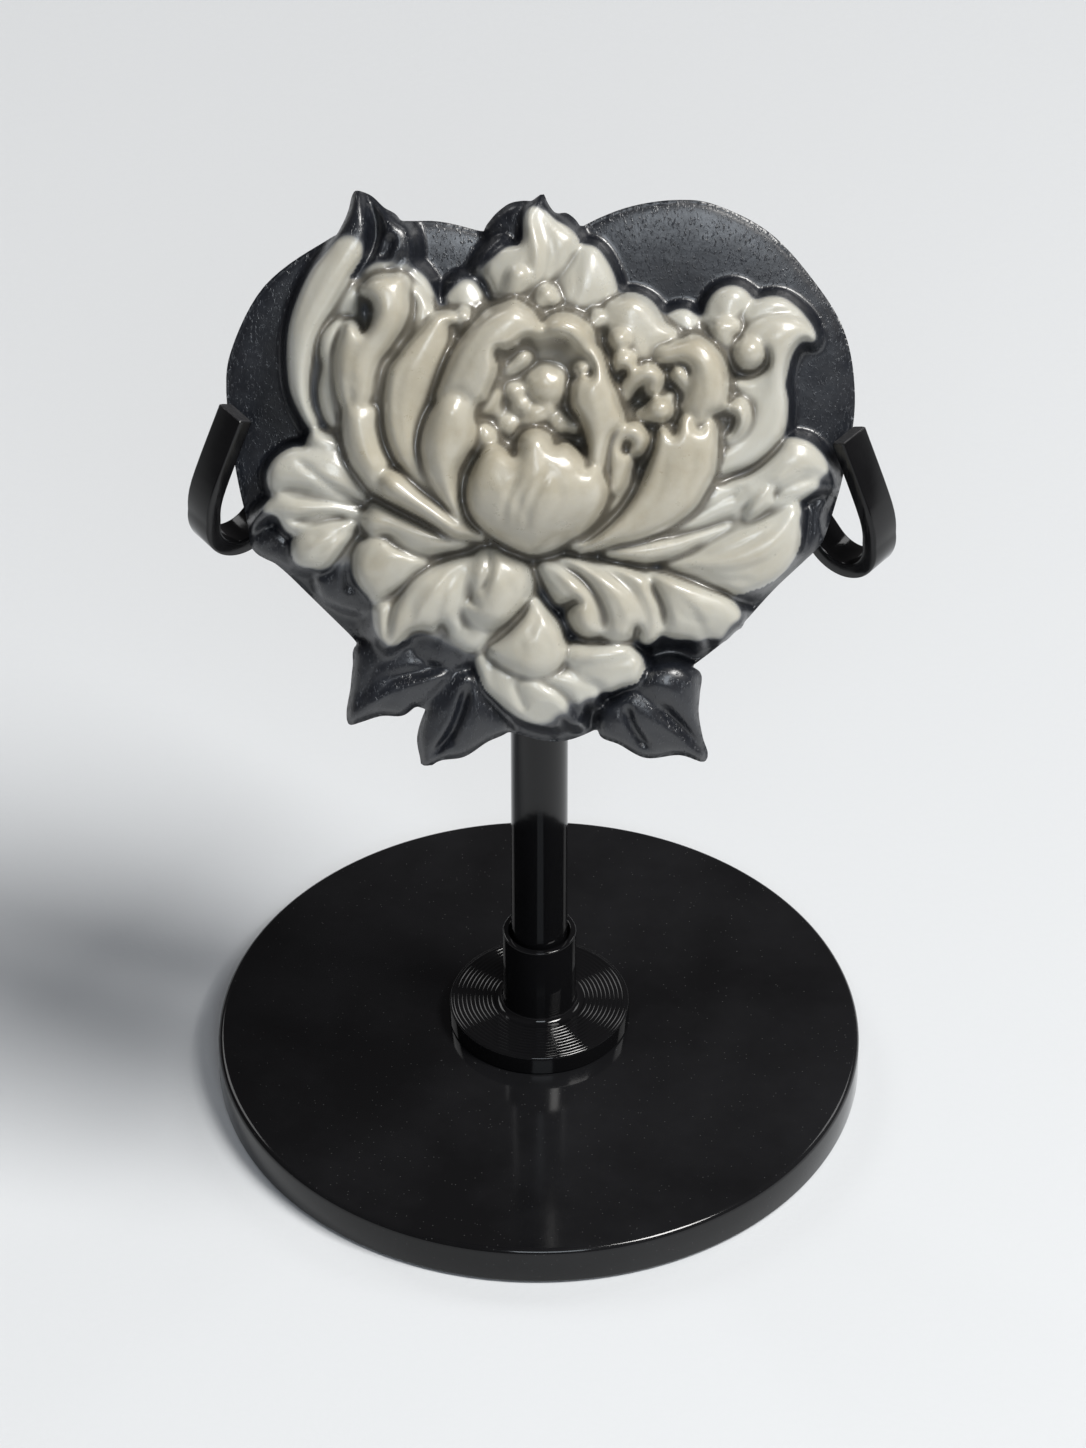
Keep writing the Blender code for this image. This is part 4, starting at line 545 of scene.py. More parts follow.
@dataclass(frozen=True)
class LacquerFinish:
    """Black lacquer: its gloss, how uneven it is and how much dust lies in it."""

    name: str
    colour: Colour = (0.0045, 0.0045, 0.005)
    haze_colour: Colour = (0.08, 0.082, 0.09)
    dust_colour: Colour = (0.2, 0.2, 0.2)
    ior: float = 1.38
    roughness: float = 0.07
    unevenness: float = 0.04
    ripple: float = 0.00001
    dust: float = 0.0

    def make(self) -> bpy.types.Material:
        """Build the material."""
        s = Shading(self.name)
        specks = s.maths("MULTIPLY", s.spots(1000.0, 0.1), self.dust)
        haze = s.maths("MULTIPLY", s.span(s.noise(30.0, 5.0, 0.6), 0.4, 0.8), 0.3 * self.dust)
        hazy = s.mix(haze, self.colour, self.haze_colour)
        s.feed("Base Color", s.mix(specks, hazy, self.dust_colour))
        uneven = s.maths("MULTIPLY", s.noise(60.0, 6.0, 0.65), 2.0 * self.unevenness)
        s.feed("Roughness", s.maths("ADD", uneven, self.roughness - self.unevenness))
        s.set(IOR=self.ior)
        s.bump([(s.noise(240.0, 3.0, 0.5), self.ripple)])
        return s.material


@dataclass(frozen=True)
class CutStripFinish:
    """Black strip metal, glossy on its faces and scraped where its ends were cut."""

    colour: Colour = (0.005, 0.005, 0.0055)
    scraped: Colour = (0.045, 0.045, 0.048)
    roughness: float = 0.12
    ior: float = 1.38
    saw_depth: float = 0.00012
    ripple: float = 0.00001

    def make(self) -> bpy.types.Material:
        """Build the material; it reads the cut attribute of the strip."""
        s = Shading("black_strip_metal")
        cut = s.attribute("cut")
        saw = s.noise(1500.0, 4.0, 0.7)
        s.feed("Base Color", s.mix(s.maths("MULTIPLY", cut, saw), self.colour, self.scraped))
        s.feed("Roughness", s.maths("ADD", s.maths("MULTIPLY", cut, 0.3),
                                    s.span(s.noise(180.0, 4.0, 0.6), 0.3, 0.7,
                                           self.roughness - 0.05, self.roughness + 0.07)))
        s.set(IOR=self.ior)
        s.bump([(s.maths("MULTIPLY", saw, cut), self.saw_depth), (s.noise(300.0, 3.0, 0.5), self.ripple)])
        return s.material


def new_piece(name: str, mesh: bpy.types.Mesh, material: bpy.types.Material, slot: Slot,
              *nodes: str) -> bpy.types.Object:
    """Put a finished mesh in the scene as a piece of the object.

    Args:
        name: The piece's name.
        mesh: Its mesh, in place.
        material: Its material.
        slot: The record's slot that the finish belongs to; not used.
        nodes: The CAD nodes that it stands for.

    Returns:
        The piece.
    """
    obj = bpy.data.objects.new(name, mesh)
    bpy.context.scene.collection.objects.link(obj)
    mesh.materials.clear()
    mesh.materials.append(material)
    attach(obj, BODY)
    if nodes:
        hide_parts(*nodes)
    mesh.calc_loop_triangles()
    log.info("%s: %d triangles", name, len(mesh.loop_triangles))
    return obj


def mesh_from(name: str, verts: Any, faces: Any) -> bpy.types.Mesh:
    """Make a smooth mesh with its faces turned outwards.

    Args:
        name: The mesh's name.
        verts: Its points.
        faces: Its faces, as lists of point numbers.

    Returns:
        The mesh.
    """
    mesh = bpy.data.meshes.new(name)
    mesh.from_pydata(np.asarray(verts).tolist(), [], faces)
    mesh.shade_smooth()
    work = bmesh.new()
    work.from_mesh(mesh)
    bmesh.ops.recalc_face_normals(work, faces=work.faces)
    work.to_mesh(mesh)
    work.free()
    return mesh


def quarter(radius: float, centre_r: float, centre_z: float, start: float,
            steps: int = 6) -> list[tuple[float, float]]:
    """Points of a quarter round, clockwise from the angle start, as radii and heights."""
    angles = [start - math.pi / 2 * k / steps for k in range(steps + 1)]
    return [(centre_r + radius * math.cos(a), centre_z + radius * math.sin(a)) for a in angles]


# Outline of the heart-shaped plate, in drawn units, and the part of the plane that is drawn
PLATE_OUTLINE = (
    (-2, 38.5), (-6.6, 39.3), (-13.5, 40.6), (-22, 39.4), (-28, 37), (-34.9, 31.5), (-38.9, 23.6),
    (-39.7, 17.4), (-38.4, 7), (-36.3, -2), (-35.5, -4), (-33, -5.3), (-28.2, -9.9), (-23.5, -14.5),
    (-20, -18), (-12, -24), (-3, -27), (4, -28.4), (10, -26), (17, -21), (23.6, -16), (28.1, -11.6),
    (32.3, -6.7), (36.5, -2.4), (38.6, 1), (41, 11), (41.7, 19), (40.1, 27.3), (35.6, 34.3),
    (30, 40.1), (23.3, 43.4), (18.6, 44), (13, 43.2), (8, 41.3), (2, 38),
)
FIELD_LOW = (-43.0, -36.0)
FIELD_HIGH = (45.0, 48.0)

# Where the boundary between the layers rises or sinks: place, reach and shift, in drawn units
LAYER_WAVES = (
    (-22.0, 43.5, 6.0, 4.0), (-17.0, 39.0, 4.6, 3.6),
    (1.2, 44.5, 1.6, 3.5), (3.6, 41.5, 1.2, 1.2), (-6.0, 38.0, 3.2, 2.6), (-11.0, 33.0, 2.0, 0.9),
    (-33.5, 0.6, 1.4, 1.4),
    (-18.8, -16.0, 2.0, 2.6), (-36.0, -0.5, 2.4, 2.4), (-28.5, -6.0, 1.6, 1.2),
    (-25.0, -9.5, 4.0, 1.7), (-11.0, -18.0, 3.2, 1.6), (-14.0, -16.5, 2.2, 1.6),
    (5.0, -25.6, 3.4, 2.0), (8.6, -23.2, 1.8, 1.8), (27.6, -12.6, 2.6, 3.0), (22.5, -15.0, 2.2, 1.6),
    (17.0, -14.6, 1.6, 1.4), (34.5, -4.5, 2.6, 1.2), (36.0, 2.0, 1.8, 2.4), (39.2, 6.4, 2.2, 2.6),
    (35.5, 12.2, 2.0, 0.7), (33.3, 20.0, 1.2, 1.0), (-30.5, 12.0, 1.8, 0.6),
)


@dataclass
class PeonyRelief:
    """The carved stone: a thin plate with leaves and one big open flower raised on it."""

    width: float = 81.4 * MM
    lean: float = math.radians(25.0)
    centre_height: float = 120.8 * MM
    forward: float = 30.0 * MM
    plate: float = 3.0 * MM
    chisel_slope: float = 0.23
    step: float = 0.25
    rim_round: float = 3.2
    rim_top: float = 2.2
    rim_flat: float = 0.12
    tile: int = 14
    layer_height: float = 3.9
    layer_soft: float = 1.5
    finish: StoneFinish = field(default_factory=StoneFinish)

    @property
    def unit(self) -> float:
        """Length of one drawn unit."""
        across = smooth_path(PLATE_OUTLINE, True)[:, 0]
        return self.width / (across.max() - across.min())

    def rim(self, height: float, side: int) -> float:
        """How far out the plate's rim is at that height along it.

        Args:
            height: Distance up the plate from its middle.
            side: -1 for the left rim, 1 for the right one.

        Returns:
            The distance from the middle.
        """
        level = height / self.unit
        loop = smooth_path(PLATE_OUTLINE, True)
        after = np.roll(loop, -1, axis=0)
        cross = (loop[:, 1] > level) != (after[:, 1] > level)
        share = (level - loop[cross, 1]) / (after[cross, 1] - loop[cross, 1])
        return float((side * (loop[cross, 0] + share * (after[cross, 0] - loop[cross, 0]))).max()) * self.unit

    def plate_and_leaves(self, c: CarvedField) -> None:
        """The heart-shaped plate, its two shoulders and the leaves under the flower."""
        c.petal(PLATE_OUTLINE, [(0, -20, 0), (0, 30, 0)], crown=0.0, edge=(16, 1.7), veins=0)
        c.petal([(-36.3, -0.5), (-36.5, -2.5), (-35.5, -4), (-33, -5.2), (-30.5, -6), (-30.5, -2),
                 (-34.5, 0.2)], [(-32, -2, 2.2), (-35.5, -2.5, 1)], crown=0.3, tone=9)
        c.petal([(-22, -15.5), (-22.9, -18.8), (-23.2, -21.7), (-23.7, -24.9), (-23.4, -26.7),
                 (-22, -26.4), (-19.1, -25.4), (-16.3, -25.3), (-14.5, -24), (-13, -24),
                 (-9, -20.5), (-8, -17.5), (-14, -14)],
                [(-10, -18, 2.8), (-16, -19.5, 2.6), (-20, -22, 2.1), (-23, -26, 0.9)],
                folds=[([(-9, -18.3), (-12, -18.8), (-17, -20.2), (-20, -22), (-22.6, -25.6)], 2.0, -2.2),
                       ([(-9.5, -18.6), (-12.5, -19.2), (-17, -20.8), (-20.5, -22.8)], 0.8, 0.5)],
                tone=9)
        c.petal([(-8, -18.5), (-11, -21.5), (-13.2, -24.2), (-14.4, -28), (-14, -31), (-13.5, -32.7),
                 (-11.4, -31.3), (-8.2, -30.7), (-5.2, -28.6), (-2.3, -26.9), (-3, -24), (-6, -20)],
                [(-7.5, -20, 3.2), (-9, -26, 2.6), (-13.3, -32, 0.7)],
                folds=[([(-7.6, -20.5), (-8.8, -25), (-10.3, -28), (-12.9, -31.3)], 1.5, 0.55),
                       ([(-9.6, -26.6), (-9.6, -28), (-9.8, -29.3)], 0.8, 0.35)], tone=9)
        c.petal([(12.5, -21.5), (14.5, -19), (16.5, -17.7), (19.5, -17.4), (22.5, -18.5),
                 (22.5, -21.5), (22.4, -24), (23, -27.3), (23.7, -29.5), (23.1, -30.7),
                 (20, -29.8), (15.6, -30.3), (12.1, -28.5), (9.5, -27.3), (9.5, -24)],
                [(12, -20, 3.2), (17, -23.5, 2.8), (23.2, -30, 0.7)], crown=1.0,
                folds=[([(12.9, -23), (13.6, -25.5), (15.2, -28), (16.3, -28.8)], 1.7, 0.55)], tone=9)
        c.petal([(14.6, -18.8), (16.5, -17.6), (19, -17.2), (21, -18.3), (22.2, -20.5), (22.3, -24),
                 (23, -28.4), (20, -26), (16.5, -23.4), (13.2, -20.9)],
                [(14.5, -20, 3.2), (18.6, -20.4, 3.9), (22, -26, 1.8)], edge=(1.4, 1.4), tone=9)
        c.petal([(27, -8), (30, -7.5), (33.3, -5), (35, -3.7), (36.6, -2.4), (38.2, -0.2), (38, 3),
                 (39.3, 6), (36, 5), (35, 2), (33, -3.5), (30, -6)],
                [(30, -6.5, 1.6), (36.5, -1, 1.8), (38, 5, 1.8)], crown=0.3, tone=9)

    def top_petals(self, c: CarvedField) -> None:
        """The flame-shaped petals and round lobes above the cup."""
        c.petal([(-6.3, 39), (-5.7, 40.8), (-4.3, 42.3), (-2.8, 43.2), (-0.5, 43.3), (1, 42),
                 (3, 41.8), (4.2, 41.9), (5.8, 40.2), (5.5, 37), (-3, 36)],
                [(-1, 38, 1.5), (-1.5, 42, 1)], tone=9)
        c.petal([(-11.6, 29.5), (-11.8, 31), (-11, 32.7), (-9.5, 33.8), (-7.8, 34.1), (-6.5, 33.5),
                 (-5.7, 31.5), (-5.2, 29.5), (-5.5, 26.5), (-9, 25.5)],
                [(-7, 26, 4.5), (-8.5, 30, 4.2), (-9, 33, 3)], edge=(1.5, 2))
        c.petal([(-8, 34.2), (-7.3, 35.8), (-6, 37.4), (-4.5, 38.5), (-3.1, 38.3), (-3.2, 37),
                 (-4.5, 35), (-5.5, 32.5), (-7, 33.3)], [(-4.5, 33, 4.6), (-6, 36, 3.9)], crown=0.5)
        c.petal([(1.2, 44.5), (1.2, 44.5), (0, 43.6), (-1, 42.5), (-1.4, 40.5), (-1.3, 38.6),
                 (-2, 37.5), (-3.6, 37.2), (-5, 36), (-6, 34), (-5.2, 31), (-3, 27), (4, 27),
                 (6.5, 33), (6, 37), (5.8, 38.6), (4, 40.8), (2.5, 42), (1.6, 43.3)],
                [(0, 28, 6), (0.6, 34, 6), (0.3, 39, 5.5), (0.9, 43, 3.2)], crown=0.6,
                folds=[([(0.9, 43.6), (0, 41.2), (0.5, 39), (1.3, 36.5), (1, 33.5), (-0.6, 31)], -1.5, -2.2),
                       ([(5.8, 37.8), (4.5, 35), (3, 33), (2, 31)], 0.8, 0.5)])
        c.petal([(5.6, 37.6), (7, 38.1), (8.3, 37.6), (9.6, 36), (10.6, 33.8), (11.1, 31.2), (11, 28),
                 (6, 26), (2.5, 29), (3.5, 33.5)], [(5, 28, 5.5), (7, 33, 5.2), (8, 36.8, 4)],
                edge=(1.5, 1.8))
        c.petal([(16.4, 28.2), (17.8, 29.6), (19.5, 30), (21, 29.3), (22.4, 28.2), (22.5, 25),
                 (18, 24.5)], [(20, 25, 5), (19.5, 28.5, 4)])
        c.petal([(21.8, 28.5), (22.3, 31), (23.8, 32.6), (25.8, 33.1), (27.5, 32.4), (28.7, 31),
                 (29, 28), (26, 24), (22.5, 24.5)], [(25, 25, 5), (25.5, 31, 4.2)], crown=1.0)
        c.petal([(28.4, 30.8), (30, 31.6), (32, 31.6), (33.8, 30.6), (35.3, 29.2), (36.2, 27.2),
                 (33, 25), (28, 25), (26.5, 28)], [(28.5, 27, 5.2), (31, 30, 4.6), (34.5, 28.5, 4)])
        c.petal([(22.8, 7), (26, 8), (29, 9.3), (31.5, 11.5), (32.8, 14), (33, 17.5), (32.7, 20),
                 (32.9, 23), (33.6, 24.8), (34.8, 25.9), (36.2, 25.6), (36.3, 26.8), (35.3, 28),
                 (33.6, 28.8), (31, 28.8), (28.5, 27.8), (26.6, 26), (25, 22), (23.5, 16)],
                [(24, 9, 6), (28.5, 14, 5.6), (31.5, 20, 5.8), (32, 25.5, 7), (35.5, 26.9, 5.6)],
                crown=0.6)
        c.hollow([(25.2, 22.5), (25.8, 20.7), (28, 20.2), (30.2, 21.6), (30.6, 23.5), (29.5, 25.4),
                  (26.5, 25.2)], 6.0, 3.2)
        c.stalk([(24.6, 24.2, 6.8), (24.5, 25.6, 7.8), (24.4, 26.9, 8.2)], 1.5)
        c.bead(25.6, 27.2, 1.0, 7.8)
        c.bead(27.9, 24, 2.0, 9.0)
        c.petal([(24.8, 16.2), (25.6, 17.6), (26.8, 18), (27.9, 17), (28.1, 15.2), (27.4, 13.5),
                 (26, 12.3), (25, 12.2)], [(25.5, 12.8, 6.5), (27, 15.5, 8)], edge=(1.0, 1.5))
        c.hollow([(24.8, 15.6), (26.2, 16), (26.6, 14.8), (26, 13.2), (24.9, 13)], 7.0, 5.0)

    def left_petals(self, c: CarvedField) -> None:
        """The tall curled petals and lobes on the left."""
        c.petal([(-25.3, 38.2), (-24.3, 39.5), (-23.8, 41.2), (-23.4, 43.2), (-22.9, 44.1),
                 (-22.1, 44.1), (-20.8, 43.5), (-19.3, 42.1), (-17.3, 40.6), (-17, 36), (-20, 32),
                 (-25, 33)], [(-21.5, 34, 3), (-21.2, 42, 2)], crown=0.1, tone=9)
        c.petal([(-21.1, 43.3), (-20.6, 43.3), (-19.3, 42.1), (-17.3, 40.6), (-15.8, 39.5),
                 (-15.1, 37.3), (-15.1, 35.3), (-14.2, 34.2), (-12.9, 32.5), (-12, 29.9),
                 (-12, 28), (-18, 27), (-22, 30), (-22.8, 32.5), (-21.6, 34.5), (-20.5, 36),
                 (-19.8, 38), (-19.8, 40.5), (-20.5, 42.3)],
                [(-17, 29, 4.6), (-17.6, 34, 4.6), (-17.8, 38, 4.2), (-20, 42.3, 2.8)],
                folds=[([(-18.1, 38.6), (-18.6, 36.4), (-19.8, 35.2)], 1.3, 0.55),
                       ([(-16.6, 36.2), (-17.4, 34.6), (-18.6, 33.6)], 0.7, 0.45),
                       ([(-15.4, 34.6), (-16, 33.6), (-17, 33)], 0.5, 0.4)])
        c.petal([(-24.2, 32.3), (-21.5, 31.8), (-20.5, 27), (-23, 20), (-24, 12), (-27, 11),
                 (-28.6, 16), (-28.7, 21), (-27.6, 25), (-26, 29)],
                [(-25.5, 12, 3.6), (-26.5, 20, 3.8), (-23.5, 30, 5)], crown=0.3)
        c.petal([(-22.8, 44.3), (-23.4, 43.6), (-23.8, 41.8), (-24.5, 40), (-26.3, 36.6),
                 (-28.5, 33.6), (-30.2, 30), (-31.3, 26.3), (-31.6, 22.3), (-31.3, 18),
                 (-30.1, 14.8), (-28.2, 11.5), (-27, 11.5), (-27.4, 13.5), (-28.4, 16),
                 (-28.7, 19), (-28.2, 22.5), (-27, 26), (-25, 30), (-22.8, 33.8), (-21.5, 36),
                 (-21, 38.5), (-21.3, 41), (-22, 43.3)],
                [(-28.5, 13, 4.5), (-30, 19, 5.3), (-29.5, 26, 5.8), (-26, 32.5, 6), (-23, 38, 5.4),
                 (-22.8, 43.3, 3.4)], crown=0.5, tilt=-0.6)
        c.petal([(-23.3, 27), (-25.3, 27), (-26.9, 25.3), (-27.3, 23.2), (-26.8, 21), (-27.3, 18),
                 (-27, 15.5), (-26, 13), (-24.5, 11), (-23.5, 12), (-23.5, 20), (-22.5, 25)],
                [(-24.5, 12, 5), (-25.5, 18, 5.8), (-25, 24, 6.2)], crown=0.3)
        c.petal([(-29.1, 10.5), (-28.9, 11.5), (-28, 12.6), (-26.5, 12.5), (-24, 11.3), (-22, 8),
                 (-25, 6), (-29, 8)], [(-24, 8, 6.2), (-27.5, 11.3, 5.4)])
        c.petal([(-29, 10.2), (-31, 10.2), (-33, 8.8), (-34.1, 6.8), (-34, 5), (-33, 3.6),
                 (-30, 3.5), (-23, 2.5), (-20, 2.5), (-21, 5), (-23.5, 9)],
                [(-21, 4, 5.6), (-26, 6.2, 6.4), (-32, 6.8, 5.2)], tilt=-0.4)
        c.petal([(-22, 0), (-24.5, -3.5), (-26.3, -6), (-28, -6.5), (-27.8, -8.2), (-26.8, -9.9),
                 (-25, -10.9), (-22.8, -11.6), (-21, -11.5), (-20, -8), (-21, -3)],
                [(-22, -1.5, 5), (-24, -6, 3.8), (-25.3, -9.8, 2.6)], crown=0.5,
                folds=[([(-22.6, -4), (-23.6, -6), (-23, -9)], 0.9, 0.6)])
        c.petal([(-33.2, 3.8), (-35, 2.2), (-36, 0.6), (-36.1, -0.8), (-34.6, 0.3), (-33, 1),
                 (-32.2, -0.2), (-31, -1.3), (-29, -1.2), (-25, -0.5), (-21.5, 0), (-20.5, 1.5),
                 (-22, 3), (-25, 3.9), (-28, 4), (-31, 4.4)],
                [(-21.5, 1.2, 5.8), (-26, 2.2, 6.4), (-31, 2.4, 6), (-35.5, 0, 3.8)], crown=0.5,
                folds=[([(-23, 1), (-25.5, 1.5), (-28, 1.1), (-31, 0.2)], 1.0, 0.55)])
        c.petal([(-30.4, -1.5), (-30.9, -3.2), (-30.5, -4.8), (-29.4, -5.8), (-27.8, -6.1),
                 (-26.3, -5.7), (-24.8, -4), (-23, -1.5), (-22, 0.2), (-23.5, 1), (-27, 0)],
                [(-22.8, 0.2, 5.8), (-26, -2, 6.6), (-29.3, -4, 5.2)], crown=0.9,
                folds=[([(-24, -0.2), (-26, -1), (-28.4, -1.8)], 0.5, 0.5)])

    def lower_petals(self, c: CarvedField) -> None:
        """The petals that hang below the middle."""
        c.petal([(-16, -14.5), (-15.3, -15.6), (-14, -17), (-12.5, -18.1), (-10.5, -18.7),
                 (-8.5, -18.6), (-6.8, -17.8), (-5.5, -15.5), (-10, -12)],
                [(-9, -14, 4.5), (-11, -17, 3.4)], crown=0.5)
        c.petal([(-11, -12.5), (-10.3, -13.8), (-9.5, -15.2), (-8, -16.1), (-6.3, -16.4),
                 (-4.8, -15.8), (-3, -14), (-1, -11.5), (-4, -9), (-9, -10)],
                [(-5, -11, 5.2), (-7, -15, 5.6)], crown=0.6)
        c.petal([(-6.8, -17.3), (-6.3, -19.5), (-5.5, -21.3), (-4, -22.8), (-2.5, -24.2),
                 (-0.5, -25.6), (2.3, -26.4), (4.3, -26.4), (4.5, -25.3), (5.6, -26), (6.9, -26.2),
                 (7.4, -24.4), (8.2, -23.1), (9.2, -23.3), (9.8, -21.8), (11, -20.5), (12, -18),
                 (5, -15), (-4, -15)], [(2, -16, 4.6), (2, -20, 5.6), (3, -25, 5)], crown=0.6,
                folds=[([(1.5, -20), (4, -21.2), (6, -23.3), (6.9, -25.6)], 1.1, 0.55),
                       ([(-1.6, -19.8), (-1, -22), (0.2, -24.5)], 0.8, 0.5)])
        c.petal([(4.2, -14.6), (8, -15), (11, -14.7), (13.2, -15), (14.6, -16.2), (15.2, -17.6),
                 (14.9, -19.2), (14, -20.2), (12.3, -20.7), (10.8, -21.3), (10, -20.9), (9, -20.2),
                 (7, -19.5), (4, -18)], [(5, -17, 5), (9, -17.5, 6), (14, -18, 5.6)], crown=0.6,
                folds=[([(4.7, -17.9), (7, -17.3), (10, -17.1), (12.5, -16.5), (14.2, -15.8)], 1.2, -1.6)])
        c.petal([(0.6, -8.5), (-0.6, -11), (-2.2, -13.2), (-4, -15), (-5, -16.1), (-4.4, -17),
                 (-2.8, -18.2), (-1, -19.1), (1, -19.5), (3, -18.9), (4.4, -17.8), (4.9, -16.2),
                 (4.8, -14.5), (4, -12.4), (2.6, -10.4), (1.4, -8.8)],
                [(0.9, -9.5, 5.6), (1, -13, 7), (0.3, -17.5, 7)], crown=0.9, edge=(1.4, 2.2),
                folds=[([(1, -10), (1, -12), (0.2, -14.5)], 0.5, 0.5)])

    def right_petals(self, c: CarvedField) -> None:
        """The layered petals that spread to the right."""
        c.petal([(14, -1), (18, 2), (22.6, 6.7), (25, 7.1), (28, 8), (30, 9.4), (31.6, 11),
                 (32.9, 12.6), (33.6, 13.1), (36, 12.7), (38, 10.8), (39.4, 8.3), (39.7, 6.2),
                 (37.5, 7), (35, 5.5), (31, 3), (26, 0), (20, -1.5)],
                [(15, -0.5, 5.4), (22, 3, 5.4), (29, 6, 5.6), (34, 9.5, 5.6), (38.5, 7.8, 3.8)])
        c.petal([(14, -0.8), (18, 2.5), (21, 5), (23.2, 6.9), (25.2, 6.2), (26.8, 5.6), (27.4, 5.3),
                 (26.9, 3.7), (25.3, 2), (22, 0.6), (18, -0.4)],
                [(15.5, 0, 7), (20, 2.5, 6.5), (26, 4.4, 5.9)], crown=0.3, edge=(0.8, 1.1))
        c.petal([(27.9, 2), (28.4, 4), (29.6, 5.6), (31, 6.5), (31.3, 5), (30.6, 3.4), (29.2, 2.3)],
                [(28.6, 2.8, 6.8), (30.6, 5.6, 6.9)], edge=(0.9, 1.3))
        c.petal([(19, -1), (24, 0.9), (28, 2), (30.6, 4), (32.6, 5.7), (34.6, 7.2), (36.3, 8),
                 (38.1, 7.6), (39.7, 6.2), (38.5, 5.9), (36.5, 5.6), (34.2, 4.2), (31, 2.9),
                 (28, 1), (23.5, -1.2)],
                [(21, -0.6, 6.2), (28, 1.7, 5.9), (34, 5.6, 5.8), (38.6, 6.7, 3.9)], crown=0.5)
        c.petal([(9.5, -3), (12, -1.6), (15, -0.8), (19, -0.5), (23, 0.5), (26, 1.6), (24, -0.8),
                 (22, -1.8), (20, -2.9), (17, -3.8), (14, -4)],
                [(10.5, -2.7, 7.2), (16, -2.2, 7), (24, 0.6, 5.9)], crown=0.5)
        c.petal([(17, -4.4), (19.5, -5.8), (22, -6.8), (25, -7.4), (27, -8), (29, -7.4), (31, -6.5),
                 (33, -5), (34.4, -3), (35.2, -0.5), (35.4, 2), (35.3, 3.8), (33.6, 4.6), (31, 3),
                 (28.5, 1.4), (25, -0.3), (22, -1.8), (20, -2.9)],
                [(19, -4, 5.2), (25, -3.5, 6.4), (31, -1, 6.4), (34.3, 2.5, 5.2)], crown=0.9,
                edge=(1.4, 1.9),
                folds=[([(19.5, -4.2), (25, -4.5), (30.5, -3.1), (34.3, 0.5)], 0.7, -1.3),
                       ([(20, -4.8), (25, -6), (29.5, -5.8)], 0.5, 0.4)])
        c.petal([(13, -4.5), (17.5, -5.4), (20, -6.2), (23, -7.2), (25.5, -8.1), (27, -9.2),
                 (28, -10.6), (27.9, -12.2), (27, -12.9), (25.4, -14.4), (23.5, -14.2),
                 (22.3, -14.8), (21, -14.2), (19.5, -14), (18.3, -13.8), (17.2, -13.2),
                 (17, -10.5), (16, -8), (15.3, -6.2)], [(15, -5.2, 5.6), (19, -8, 7), (26, -11.5, 5.4)],
                tilt=0.5,
                folds=[([(15.8, -5.6), (19, -7.6), (22, -10.2), (23.6, -13.8)], 0.8, -1.3),
                       ([(16, -6.6), (18, -9.2), (19.2, -13.2)], 0.7, -1.1)])
        c.petal([(6, -3.3), (9, -3.8), (13, -4.8), (15.3, -6), (16, -7.8), (17, -10), (17.3, -12.6),
                 (16.9, -14), (16, -14.8), (15, -14.7), (14.4, -13.6), (14.8, -11.5), (14, -8.9),
                 (11.5, -6.8), (8.5, -5)], [(9, -4.3, 6), (14, -7.2, 7.4), (16, -13.5, 6.4)],
                crown=0.3, tilt=0.5,
                folds=[([(9.5, -4.5), (13, -6.3), (15.4, -9.5), (16, -13.6)], 0.5, -0.9)])
        c.petal([(2.5, -3.5), (6, -3.4), (8.5, -4.7), (11.5, -6.4), (14, -8.4), (15.2, -10.5),
                 (15.3, -12.8), (14.5, -12.4), (13.8, -12.8), (13.2, -14), (11.5, -14.7),
                 (9.8, -14.3), (9, -13.6), (9.4, -12), (8.6, -9.2), (7, -6.8), (4.5, -4.8)],
                [(4, -3.9, 5.6), (9.5, -7, 7.4), (12, -13, 6.6)], crown=0.9, tilt=0.5, soft=1,
                folds=[([(4.5, -4.2), (8.6, -6), (11.8, -9.4), (12.8, -13.4)], 0.8, -1.2),
                       ([(4.6, -4.6), (7.9, -7.1), (10, -10.5), (10.7, -13.9)], 0.7, 0.4)])
        c.petal([(1, -4.2), (0.6, -5), (1.6, -6.6), (3.2, -8.6), (4.2, -9.4), (5.9, -9.2),
                 (6.6, -9.4), (5.7, -10.2), (5.4, -11.3), (6, -12.8), (7.2, -13.8), (8.2, -13.9),
                 (9.2, -13.5), (9.5, -12), (9.1, -10), (7.9, -7.8), (6, -5.9), (3.5, -4.2),
                 (2, -3.7)], [(2, -4.5, 5.4), (5.5, -7.5, 7.4), (7.3, -12.5, 6.8)],
                crown=0.9, tilt=0.5, soft=1,
                folds=[([(2.4, -5), (4.8, -7.4), (7, -10)], 0.5, 0.4)])

